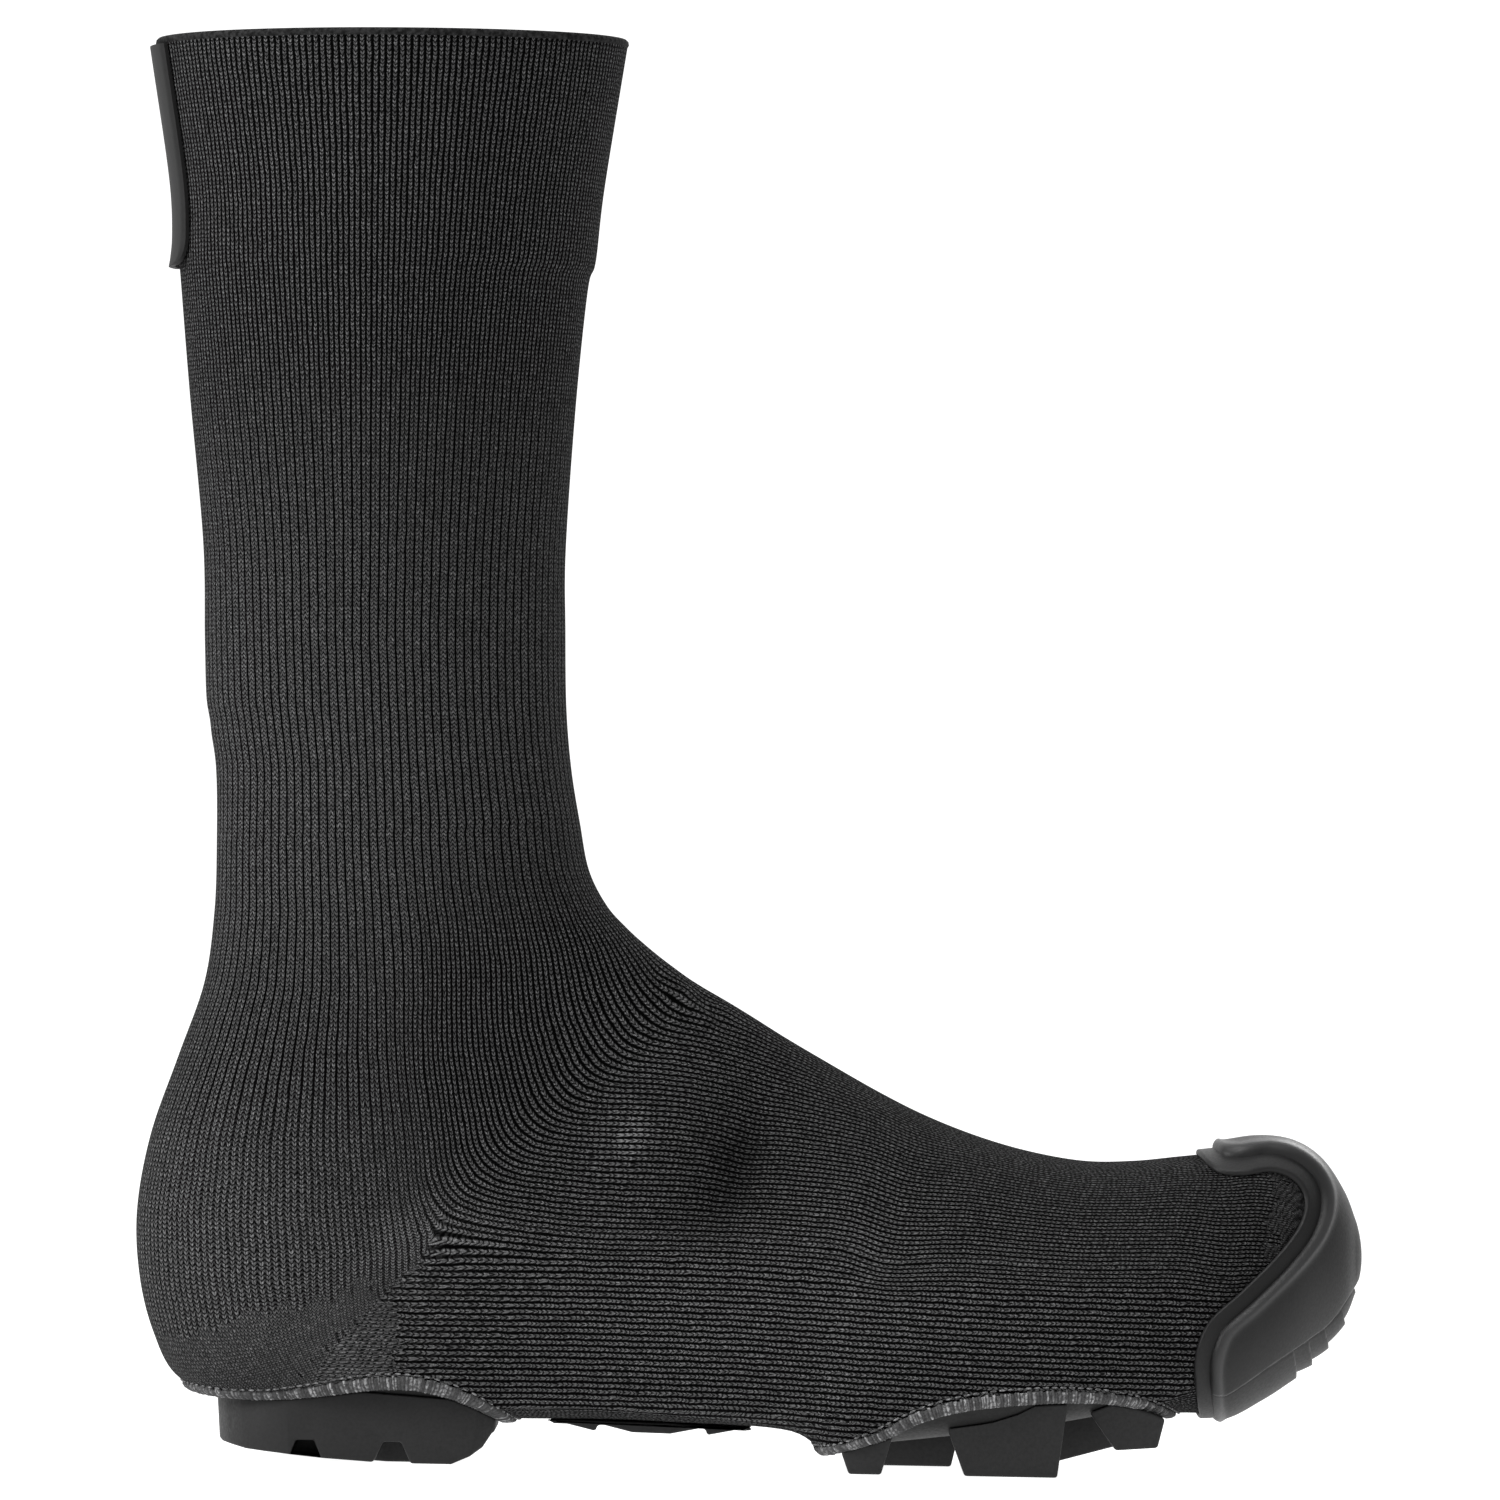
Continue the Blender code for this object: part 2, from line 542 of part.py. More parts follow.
def arch_tread(material, knit_clear):
    """A slab under the arch strap with two ramped teeth either side of a flat land."""
    root_far, tip_far, root_near, land = 20.5 * MM, 13.6 * MM, 11.4 * MM, 4.6 * MM
    half = [
        (ARCH_TREAD_HALF_LENGTH, ARCH_TREAD_BASE + 0.6 * MM), (ARCH_TREAD_HALF_LENGTH - 1.5 * MM, ARCH_TREAD_BASE),
        (root_far, ARCH_TREAD_BASE), (tip_far, ARCH_TREAD_TIP), (tip_far - 0.5 * MM, ARCH_TREAD_BASE),
        (root_near, ARCH_TREAD_BASE), (land, ARCH_TREAD_TIP),
    ]
    top = 18 * MM
    rear = [(ARCH_TREAD_CENTRE - reach, z - ARCH_TREAD_SLOPE * reach) for reach, z in half]
    front = [(ARCH_TREAD_CENTRE + reach, z + ARCH_TREAD_SLOPE * reach) for reach, z in reversed(half)]
    outline = [(rear[0][0], top), *rear, *front, (front[-1][0], top)]
    bm = bmesh.new()
    near = [bm.verts.new((x, -ARCH_TREAD_HALF_WIDTH, z)) for x, z in outline]
    far = [bm.verts.new((x, ARCH_TREAD_HALF_WIDTH, z)) for x, z in outline]
    bm.faces.new(near)
    bm.faces.new(list(reversed(far)))
    for j in range(len(outline)):
        k = (j + 1) % len(outline)
        bm.faces.new((near[j], far[j], far[k], near[k]))
    bmesh.ops.recalc_face_normals(bm, faces=bm.faces)
    pad = link_mesh("arch_tread", bm, material)
    boolean(pad, knit_clear, "DIFFERENCE")
    return pad


def smooth_shading(thing, degrees):
    for polygon in thing.data.polygons:
        polygon.use_smooth = True
    thing.data.set_sharp_from_angle(angle=math.radians(degrees))


def main():
    clear_scene()
    knit = make_material("knit", (0.036, 0.036, 0.038), 0.95)
    thread = make_material("hem_thread", (0.12, 0.12, 0.125), 0.9)
    cap_rubber = make_material("cap_rubber", (0.045, 0.045, 0.046), 0.5)
    label_rubber = make_material("label_rubber", (0.03, 0.03, 0.031), 0.6)
    plate_plastic = make_material("plate_plastic", (0.02, 0.02, 0.021), 0.55)
    sole_rubber = make_material("sole_rubber", (0.026, 0.026, 0.027), 0.7)

    plate_clear = as_cutter(closed_form("plate_clear_form", -KNIT_WALL, "heel_high"))
    knit_clear = as_cutter(closed_form("knit_clear_form", GAP, "heel_high"))
    heel_clear = opening_prism("heel_clear", HEEL_HEM, -GAP)
    forefoot_clear = opening_prism("forefoot_clear", FOREFOOT_HEM, -GAP)

    parts = [
        upper(knit),
        toe_cap(cap_rubber),
        hem("heel_hem", HEEL_HEM, "heel_back", "arch", thread),
        hem("forefoot_hem", FOREFOOT_HEM, "arch_rear", "toe_box", thread),
        back_label(label_rubber),
        sole_plate(plate_plastic),
        heel_tread(sole_rubber, plate_clear, heel_clear),
        arch_tread(sole_rubber, knit_clear),
    ]
    for row in LUGS:
        parts.append(lug(row, sole_rubber, plate_clear, forefoot_clear))

    stand = bpy.data.objects.new("overshoe", None)
    bpy.context.scene.collection.objects.link(stand)
    for part in parts:
        part.parent = stand
        smooth_shading(part, 35.0)


main()
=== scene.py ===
# %% [markdown]
# # A knitted cycling overshoe
# The part is a tall rib-knit sock that is pulled over a cycling shoe. It has a moulded toe cap, two
# overlocked openings underneath, and the lugged sole of the shoe showing through them. The solids give the
# sizes, so the first step loads them as a fixed frame and lists their names. All places below are in metres,
# with the toe towards +X, the outer side of the right foot towards -Y and the floor at zero height.

# %% Load the frame
import math
from collections import namedtuple

import bmesh
import bpy
import numpy as np
from mathutils import Matrix, Vector
from mathutils.bvhtree import BVHTree


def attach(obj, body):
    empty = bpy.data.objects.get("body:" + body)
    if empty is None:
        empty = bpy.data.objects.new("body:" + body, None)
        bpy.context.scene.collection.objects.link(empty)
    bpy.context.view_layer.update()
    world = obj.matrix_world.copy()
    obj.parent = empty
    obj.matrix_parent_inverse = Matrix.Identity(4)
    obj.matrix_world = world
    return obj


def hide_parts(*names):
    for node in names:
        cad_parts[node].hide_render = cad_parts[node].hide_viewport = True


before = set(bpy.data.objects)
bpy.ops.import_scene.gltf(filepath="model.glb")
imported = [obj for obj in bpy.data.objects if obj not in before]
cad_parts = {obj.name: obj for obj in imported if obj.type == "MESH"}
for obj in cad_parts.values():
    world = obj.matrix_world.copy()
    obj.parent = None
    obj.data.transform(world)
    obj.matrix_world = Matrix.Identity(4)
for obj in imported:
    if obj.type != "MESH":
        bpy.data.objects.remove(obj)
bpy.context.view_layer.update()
MM = 0.001
print("solids:", sorted(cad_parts))

# %% [markdown]
# ## Camera
# A product shot of a shoe is taken from far away with a long lens, which keeps the toe and the heel in
# proportion. The camera stands at ankle height and looks straight across the outer side. It is turned a
# little about its own axis, because the shoe in the photograph dips towards the toe.

# %% Camera
CAMERA_DISTANCE = 3.6
CAMERA_HEIGHT = 0.125
CAMERA_ROLL = math.radians(1.1)
PICTURE_WIDTH = 0.36706
SENSOR_WIDTH = 36.0
AIM = Vector((-0.0008, 0.0, 0.1751))


def add_camera():
    place = Vector((0.0, -CAMERA_DISTANCE, CAMERA_HEIGHT))
    ahead = (AIM - place).normalized()
    level = Vector((math.cos(CAMERA_ROLL), 0.0, math.sin(CAMERA_ROLL)))
    up = level.cross(ahead).normalized()
    right = ahead.cross(up)
    data = bpy.data.cameras.new("camera")
    data.sensor_width = SENSOR_WIDTH
    data.lens = SENSOR_WIDTH * CAMERA_DISTANCE / PICTURE_WIDTH
    camera = bpy.data.objects.new("camera", data)
    turn = Matrix((right, up, -ahead)).transposed()
    camera.matrix_world = Matrix.Translation(place) @ turn.to_4x4()
    bpy.context.scene.collection.objects.link(camera)
    bpy.context.scene.camera = camera
    return camera


camera = add_camera()
print("lens", round(camera.data.lens, 1), "mm")

# %% [markdown]
# ## Floor and light
# The background is a white sweep: a floor that curves up into a wall, so no horizon shows. A little glow of
# its own keeps it white, as an overexposed studio sweep is. It is as large as a hall, so that a camera can
# also go round behind the shoe. The light comes from large soft panels, the strongest high on the heel's
# side, so the slopes that face the toe fall into shade.

# %% Floor
SWEEP_HALF_WIDTH = 14.0
SWEEP_FRONT = -17.5
SWEEP_BACK = 7.0
SWEEP_RADIUS = 3.5
SWEEP_TOP = 14.0
SWEEP_SHADE = 0.3
SWEEP_GLOW = 1.0
PAPER_ROUGHNESS = 0.9
PAPER_SPECULAR = 0.1
WHITE = (1.0, 1.0, 1.0, 1.0)


def sweep_mesh():
    turns = [math.radians(10 * step) for step in range(10)]
    bend = [(SWEEP_BACK + SWEEP_RADIUS * math.sin(t), SWEEP_RADIUS * (1.0 - math.cos(t))) for t in turns]
    profile = [(SWEEP_FRONT, 0.0), *bend, (SWEEP_BACK + SWEEP_RADIUS, SWEEP_TOP)]
    points = [(x, y, z) for y, z in profile for x in (-SWEEP_HALF_WIDTH, SWEEP_HALF_WIDTH)]
    faces = [(2 * i, 2 * i + 1, 2 * i + 3, 2 * i + 2) for i in range(len(profile) - 1)]
    mesh = bpy.data.meshes.new("floor")
    mesh.from_pydata(points, [], faces)
    return mesh


def paper_finish():
    paper = bpy.data.materials.new("white_paper")
    paper.use_nodes = True
    shader = paper.node_tree.nodes["Principled BSDF"]
    shader.inputs["Base Color"].default_value = (SWEEP_SHADE, SWEEP_SHADE, SWEEP_SHADE, 1.0)
    shader.inputs["Roughness"].default_value = PAPER_ROUGHNESS
    shader.inputs["Specular IOR Level"].default_value = PAPER_SPECULAR
    shader.inputs["Emission Color"].default_value = WHITE
    shader.inputs["Emission Strength"].default_value = SWEEP_GLOW
    return paper


def add_sweep():
    mesh = sweep_mesh()
    mesh.materials.append(paper_finish())
    floor = bpy.data.objects.new("floor", mesh)
    bpy.context.scene.collection.objects.link(floor)


add_sweep()
print("sweep:", 2 * SWEEP_HALF_WIDTH, "m wide")

# %% Light
WORLD_LIGHT = 0.3
LIGHT_AIM = Vector((0.0, 0.0, 0.12))

Panel = namedtuple("Panel", "name place size power")
PANELS = [
    Panel("key", (-2.5, -1.0, 1.5), 1.2, 82.0),
    Panel("fill", (1.6, -2.4, 0.9), 1.6, 10.0),
    Panel("top", (-0.3, -0.3, 2.3), 1.2, 33.0),
    Panel("back", (0.9, 1.9, 1.3), 1.2, 14.0),
]


def add_panel(panel):
    data = bpy.data.lights.new(panel.name, "AREA")
    data.size = panel.size
    data.energy = panel.power
    light = bpy.data.objects.new(panel.name, data)
    light.location = panel.place
    aim = LIGHT_AIM - Vector(panel.place)
    light.rotation_euler = aim.to_track_quat("-Z", "Y").to_euler()
    bpy.context.scene.collection.objects.link(light)


for panel in PANELS:
    add_panel(panel)
world = bpy.data.worlds.new("studio")
world.use_nodes = True
world.node_tree.nodes["Background"].inputs["Color"].default_value = WHITE
world.node_tree.nodes["Background"].inputs["Strength"].default_value = WORLD_LIGHT
bpy.context.scene.world = world
bpy.context.scene.view_settings.view_transform = "Standard"
print("light panels:", [panel.name for panel in PANELS])

# %% [markdown]
# ## The form under the knit
# Everything soft follows one form: the shape of the foot in its shoe. A table of sections describes it, from
# the collar down the leg, round the heel and along to the toe. Each section is a flat slice that runs from
# the front of the leg, or the top of the foot, to the back or the sole. The solids use the same table with
# straight steps between its rows. Here a smooth curve runs through the rows, so the surface shows no facets.

# %% Section table
LENGTH = 300 * MM
INSTEP_HEIGHT = 112 * MM
BALL_WIDTH = 104 * MM
KNIT_WALL = 1.8 * MM
GAP = 0.3 * MM

Section = namedtuple(
    "Section", "name front_at front_up back_at back_up half_width lean widest front_power back_power")
SECTIONS = [
    Section("collar", 38.7, 310.4, 0.2, 308.7, 49.0, 0.0, 0.52, 2.0, 2.0),
    Section("cuff_middle", 37.0, 278.6, 2.1, 277.7, 47.2, 0.0, 0.52, 2.0, 2.0),
    Section("cuff_edge", 36.4, 262.5, 2.4, 261.6, 46.5, 0.0, 0.52, 2.0, 2.0),
    Section("cuff_foot", 35.8, 256.3, 2.6, 255.4, 45.5, 0.0, 0.52, 2.0, 2.0),
    Section("calf", 35.0, 231.2, 3.5, 231.2, 42.6, 0.0, 0.52, 2.0, 2.0),
    Section("shin", 34.4, 199.6, 4.8, 199.6, 39.0, 0.0, 0.52, 2.0, 2.0),
    Section("shin_low", 34.5, 181.7, 5.1, 177.7, 37.3, 0.0, 0.52, 2.0, 2.0),
    Section("ankle_high", 34.7, 164.8, 5.4, 163.0, 36.4, 0.0, 0.52, 2.0, 2.0),
    Section("ankle", 35.2, 151.4, 6.2, 150.5, 36.2, 0.0, 0.52, 2.0, 2.0),
    Section("ankle_low", 36.0, 139.5, 6.4, 132.6, 36.6, 0.0, 0.52, 2.0, 2.1),
    Section("bend_high", 36.8, 129.4, 6.3, 118.3, 37.2, 0.0, 0.51, 2.0, 2.1),
    Section("bend", 38.3, 121.8, 5.6, 103.2, 37.7, 0.0, 0.50, 2.0, 2.2),
    Section("bend_low", 40.0, 116.9, 3.6, 87.1, 38.2, 0.0, 0.50, 2.0, 2.2),
    Section("heel_high", 41.5, 113.4, 1.5, 70.1, 38.3, 0.0, 0.51, 2.0, 2.3),
    Section("heel_back", 42.7, 110.8, 0.5, 53.6, 38.1, 0.0, 0.53, 2.0, 2.4),
    Section("heel_low", 43.8, 108.6, 0.8, 39.3, 37.8, 0.0, 0.56, 2.0, 2.5),
    Section("heel_turn", 44.9, 106.6, 2.0, 27.2, 37.4, 0.0, 0.59, 2.0, 2.7),
    Section("heel_corner", 46.0, 104.9, 4.1, 17.4, 37.1, 0.0, 0.62, 2.0, 3.1),
    Section("heel_seat_rear", 47.1, 103.2, 8.6, 12.7, 36.8, -0.4, 0.64, 2.0, 4.0),
    Section("heel_seat", 48.5, 101.0, 17.0, 11.4, 36.2, -1.0, 0.65, 2.0, 4.4),
    Section("heel_seat_front", 50.4, 98.0, 26.8, 9.8, 36.0, -1.8, 0.67, 2.0, 4.0),
    Section("arch_rear", 53.0, 93.8, 36.3, 9.8, 36.3, -2.4, 0.69, 2.0, 3.6),
    Section("arch", 56.3, 88.8, 44.3, 9.6, 38.4, -2.6, 0.70, 2.0, 3.6),
    Section("arch_front", 60.8, 82.2, 53.8, 8.4, 42.0, -3.0, 0.70, 2.1, 4.0),
    Section("ball_rear", 64.7, 77.2, 57.8, 3.2, 46.4, -3.2, 0.70, 2.1, 4.6),
    Section("ball_outer", 69.0, 72.9, 64.3, 5.4, 48.9, -1.0, 0.70, 2.2, 5.0),
    Section("ball_inner", 73.3, 69.8, 70.3, 7.2, 48.9, 1.0, 0.70, 2.2, 5.0),
    Section("ball_front", 77.7, 68.0, 76.0, 9.4, 47.2, 2.4, 0.69, 2.2, 4.6),
    Section("toe_root", 81.7, 68.2, 81.0, 11.8, 44.4, 3.8, 0.67, 2.2, 4.0),
    Section("toe_box_rear", 85.3, 69.3, 85.3, 13.4, 40.6, 4.8, 0.64, 2.2, 3.2),
    Section("toe_box", 88.7, 70.4, 89.0, 13.9, 36.2, 5.4, 0.60, 2.2, 2.8),
    Section("toe_box_front", 91.7, 71.7, 91.9, 18.4, 31.4, 5.8, 0.57, 2.2, 2.6),
    Section("toe_rise", 94.4, 71.0, 94.4, 23.6, 25.6, 6.0, 0.54, 2.2, 2.4),
    Section("toe_round", 96.4, 67.6, 96.6, 29.7, 18.8, 6.2, 0.52, 2.2, 2.2),
    Section("toe_nose", 98.0, 61.1, 98.1, 35.4, 12.0, 6.2, 0.50, 2.1, 2.1),
    Section("toe_front", 98.9, 55.0, 98.9, 41.2, 5.8, 6.2, 0.50, 2.0, 2.0),
]
TOE_TIP_AT = 99.35
TOE_TIP_UP = 47.6
LAST_ROW = len(SECTIONS) - 1


def row_number(name):
    return [row.name for row in SECTIONS].index(name)


print(len(SECTIONS), "sections")

# %% [markdown]
# ## From sections to a surface
# A place on the form is a row number, which may lie between two rows, and a share of the way round one side,
# from 0 at the front line to 1 at the sole line. Blender could loft the slices with a Subdivision Surface
# modifier, but a numpy grid gives exact places and directions, which the hems, the cap and the rib pattern
# all need. Steps round a section are even along its curve, so no quad is stretched.

# %% Sizes of the slices
def smooth_column(values, place):
    """A table column at fractional row numbers, on a smooth curve through its values."""
    ends = ([2 * values[0] - values[1]], values, [2 * values[-1] - values[-2]])
    padded = np.concatenate(ends)
    row = np.clip(np.floor(place).astype(int), 0, len(values) - 2)
    t = place - row
    a, b, c, d = (padded[row + step] for step in range(4))
    bend = 2 * a - 5 * b + 4 * c - d
    twist = 3 * b - 3 * c + d - a
    return 0.5 * (2 * b + (c - a) * t + bend * t ** 2 + twist * t ** 3)


def side_place(at, up):
    """A place in the side view, from percents of length and height to metres."""
    return (at / 100.0 - 0.5) * LENGTH, up / 100.0 * INSTEP_HEIGHT


def section_sizes(place):
    """Sizes of the slices at fractional row numbers; past the last row the toe closes to its tip."""
    body = np.minimum(place, LAST_ROW)
    left = 1.0 - np.clip(place - LAST_ROW, 0.0, 1.0)
    sizes = {}
    for field in Section._fields[1:]:
        column = np.array([getattr(row, field) for row in SECTIONS])
        sizes[field] = smooth_column(column, body)
    for end in ("front", "back"):
        sizes[end + "_at"] += (TOE_TIP_AT - sizes[end + "_at"]) * (1.0 - left ** 2)
        sizes[end + "_up"] = TOE_TIP_UP + (sizes[end + "_up"] - TOE_TIP_UP) * left
    sizes["half_width"] *= left
    return sizes


collar_size = section_sizes(np.array([0.0]))
print("half width of the collar:", float(collar_size["half_width"][0]), "percent of the ball's width")

# %% Surface functions
PROFILE_STEPS = 361
SMALLEST_SLICE = 1e-9


def half_profile(size):
    """One side of a slice: share along it and share of its half width, at even steps of its curve."""
    angle = np.linspace(0.0, math.pi, PROFILE_STEPS)
    ahead = np.abs(np.cos(angle))
    aside = np.sin(angle).clip(0.0)
    front = angle <= math.pi / 2
    power = np.where(front, size["front_power"], size["back_power"])
    bow = ahead ** (2.0 / power)
    along = np.where(front, size["widest"] * (1.0 - bow), size["widest"] + (1.0 - size["widest"]) * bow)
    return along, aside ** (2.0 / power)


def slice_side(size, share):
    """One side of a slice at shares of its curve: places in the side view, and how far aside they are."""
    front = np.array(side_place(size["front_at"], size["front_up"]))
    back = np.array(side_place(size["back_at"], size["back_up"]))
    half = size["half_width"] / 100.0 * BALL_WIDTH
    along, across = half_profile(size)
    steps = np.hypot(np.diff(along) * np.linalg.norm(back - front), np.diff(across) * half)
    walked = np.concatenate([[0.0], np.cumsum(steps)])
    even = np.linspace(0.0, 1.0, len(walked))
    walked = walked / walked[-1] if walked[-1] > SMALLEST_SLICE else even
    along = np.interp(share, walked, along)
    across = np.interp(share, walked, across) * half
    return front + np.outer(along, back - front), across


def form_grid(place, columns):
    """Points of the form: rows of slices, each with columns steps down one side and back up the other."""
    sizes = section_sizes(place)
    share = np.linspace(0.0, 1.0, columns + 1)
    back_up = slice(columns - 1, 0, -1)
    points = np.zeros((len(place), 2 * columns, 3))
    for i in range(len(place)):
        size = {name: values[i] for name, values in sizes.items()}
        side_view, across = slice_side(size, share)
        middle = size["lean"] / 100.0 * BALL_WIDTH
        points[i, :, 0] = np.concatenate([side_view[:, 0], side_view[back_up, 0]])
        points[i, :, 1] = middle + np.concatenate([across, -across[back_up]])
        points[i, :, 2] = np.concatenate([side_view[:, 1], side_view[back_up, 1]])
    return points


def grid_directions(points):
    """Outward unit direction at every point of a grid that is closed round its columns."""
    down = np.gradient(points, axis=0)
    round_about = np.roll(points, -1, axis=1) - np.roll(points, 1, axis=1)
    out = np.cross(down, round_about)
    return out / np.linalg.norm(out, axis=2, keepdims=True).clip(1e-12)


def around_shares(columns):
    """Share of the way from the front line to the sole line, for each column of a grid."""
    step = np.arange(2 * columns)
    return np.minimum(step, 2 * columns - step) / columns


trial = form_grid(np.linspace(0.0, LAST_ROW, 60), 24)
print("form from", np.round(trial.min((0, 1)) / MM, 1), "to", np.round(trial.max((0, 1)) / MM, 1), "mm")

# %% [markdown]
# ## Soft forms in the knit
# The shoe's closure pushes a bump into the side of the instep, with a shaded hollow in front of and below it.
# A few shallow folds lie where the ankle bends. Cloth simulation would make folds of its own choosing, so
# each one is listed here: where it is in the side view, which way it runs, how long and wide it is
# and how far it stands out or in.

# %% Soft forms
Fold = namedtuple("Fold", "name x z angle length width height side")
FOLDS = [
    Fold("closure bump", -20.0, 80.0, 0.0, 15.0, 14.5, 4.7, -1),
    Fold("hollow ahead of the bump", -0.5, 74.5, 74.0, 14.0, 5.4, -2.8, -1),
    Fold("hollow under the bump", -12.0, 61.0, 14.0, 14.0, 5.4, -1.3, -1),
    Fold("swell over the little toe joint", 27.0, 68.0, -20.0, 18.0, 12.0, 0.8, -1),
    Fold("instep fold", -21.4, 117.5, -55.0, 9.0, 2.6, -0.7, -1),
    Fold("instep ridge", -16.0, 115.0, -45.0, 10.0, 3.0, 0.5, -1),
    Fold("second instep fold", -8.7, 111.5, -55.0, 9.0, 2.6, -0.7, -1),
    Fold("ankle hollow", -52.0, 128.0, -40.0, 22.0, 9.0, -0.5, 0),
    Fold("back of the ankle step", -131.5, 180.0, 0.0, 24.0, 3.0, -0.35, 0),
    Fold("heel gore trough", -90.0, 37.0, 46.0, 24.0, 3.2, -0.9, 0),
    Fold("swell ahead of the gore", -76.0, 31.0, 50.0, 16.0, 9.0, 0.8, 0),
    Fold("arch pull", -48.0, 22.0, -25.0, 18.0, 4.0, -0.6, 0),
]
SIDE_FADE = 16 * MM


def spot(points, place):
    """1 at a place in the side view, fading out over its length and width, which its angle turns."""
    turn = math.radians(place.angle)
    x = points[..., 0] - place.x * MM
    z = points[..., 2] - place.z * MM
    along = x * math.cos(turn) + z * math.sin(turn)
    across = z * math.cos(turn) - x * math.sin(turn)
    return np.exp(-(along / place.length / MM) ** 2 - (across / place.width / MM) ** 2)


def fold_heights(points):
    """How far the soft forms move each point of the form along its outward direction."""
    total = np.zeros(points.shape[:-1])
    for fold in FOLDS:
        height = fold.height * MM * spot(points, fold)
        on_side = np.clip(0.5 + fold.side * points[..., 1] / SIDE_FADE, 0.0, 1.0)
        total += height * (on_side if fold.side else 1.0)
    return total


def soft_form(place, columns):
    points = form_grid(place, columns)
    out = grid_directions(points)
    points = points + out * fold_heights(points)[..., None]
    return points, grid_directions(points)


print(len(FOLDS), "soft forms")

# %% [markdown]
# ## Lines in the side view
# Hems and cap edges were traced as lines seen from the side. A smooth curve runs through each short list of
# places. The distance from such a line, positive on its left, is then a field over the whole surface: a mesh
# can be cut where the field is zero, and a step or a bead can follow the field.

# %% Side view lines
HEEL_HEM = [
    (2.7, 16.2), (4.3, 15.4), (8.0, 13.9), (12.0, 13.6), (16.0, 14.5), (20.0, 15.9),
    (23.7, 16.1), (27.3, 13.8), (30.2, 10.2), (31.6, 6.5), (31.9, 2.0),
]
FOREFOOT_HEM = [
    (56.5, 0.0), (56.6, 2.4), (57.0, 3.9), (59.0, 5.6), (62.0, 8.3), (64.3, 11.3), (67.3, 13.8),
    (71.3, 15.4), (76.0, 16.3), (80.0, 16.1), (82.7, 14.8), (84.7, 12.5), (85.3, 8.9), (85.4, 3.6),
]
LINE_STEPS = 12


def smooth_line(places, run_in=0.0):
    """A smooth line through places in the side view, in metres, with a straight run before its start."""
    knots = np.array([side_place(at, up) for at, up in places])
    place = np.linspace(0.0, len(knots) - 1.0, LINE_STEPS * (len(knots) - 1) + 1)
    line = np.stack([smooth_column(knots[:, k], place) for k in (0, 1)], axis=1)
    if run_in:
        line = np.vstack([line[0] - [run_in, 0.0], line])
    return line


def line_distance(line, points):
    """Signed distance in the side view from a line, positive on its left."""
    flat = points[..., [0, 2]].reshape(-1, 2)
    best = np.full(len(flat), np.inf)
    signed = np.zeros(len(flat))
    for start, end in zip(line, line[1:]):
        ahead = end - start
        length = np.hypot(*ahead)
        reach = np.clip((flat - start) @ ahead / length ** 2, 0.0, 1.0)
        away = flat - start - reach[:, None] * ahead
        distance = np.hypot(away[:, 0], away[:, 1])
        side = np.sign(ahead[0] * away[:, 1] - ahead[1] * away[:, 0])
        near = distance < best
        best = np.where(near, distance, best)
        signed = np.where(near, distance * side, signed)
    return signed.reshape(points.shape[:-1])


BEHIND = 60 * MM
HEM_LINES = {
    "heel_hem": smooth_line(HEEL_HEM, BEHIND),
    "forefoot_hem": smooth_line(FOREFOOT_HEM),
}
print("hem lines:", {name: len(line) for name, line in HEM_LINES.items()}, "points")

# %% [markdown]
# ## Meshes from grids, and cutting them
# A Boolean modifier could cut the openings, but it drops the numbers stored on the vertices, which the knit
# pattern needs. So a small cutter works on the bmesh itself: it splits every edge that crosses the zero line
# of a field, joins the new points across each face, and removes the faces on the far side.

# %% Mesh helpers
JOIN_DISTANCE = 0.001 * MM


def grid_mesh(name, points):
    """A mesh from a grid of points that is closed round its columns."""
    rows, columns = points.shape[:2]
    i, j = np.meshgrid(np.arange(rows - 1), np.arange(columns), indexing="ij")
    k = (j + 1) % columns
    corners = (i * columns + j, (i + 1) * columns + j, (i + 1) * columns + k, i * columns + k)
    faces = np.stack(corners, axis=-1).reshape(-1, 4)
    mesh = bpy.data.meshes.new(name)
    mesh.from_pydata(points.reshape(-1, 3).tolist(), [], faces.tolist())
    return mesh


def store(mesh, name, values):
    """Keep one number per vertex under a name, for a material to read."""
    attribute = mesh.attributes.get(name) or mesh.attributes.new(name, "FLOAT", "POINT")
    attribute.data.foreach_set("value", np.ascontiguousarray(values, dtype=np.float32).ravel())


def vertex_points(mesh):
    """Places of a mesh's vertices, as rows of three numbers."""
    places = np.zeros(3 * len(mesh.vertices), dtype=np.float32)
    mesh.vertices.foreach_get("co", places)
    return places.reshape(-1, 3).astype(float)


def joined_bmesh(mesh):
    """A bmesh of a mesh, with its doubled vertices joined."""
    bm = bmesh.new()
    bm.from_mesh(mesh)
    bmesh.ops.remove_doubles(bm, verts=bm.verts, dist=JOIN_DISTANCE)
    return bm


def written(bm, mesh):
    """The mesh with a bmesh written to it and every face turned outwards."""
    bmesh.ops.recalc_face_normals(bm, faces=bm.faces)
    bm.to_mesh(mesh)
    bm.free()
    return mesh


def closed_mesh(mesh):
    """The same mesh with doubled vertices joined and every face turned outwards."""
    return written(joined_bmesh(mesh), mesh)


print("vertices closer than", JOIN_DISTANCE / MM, "mm are joined")

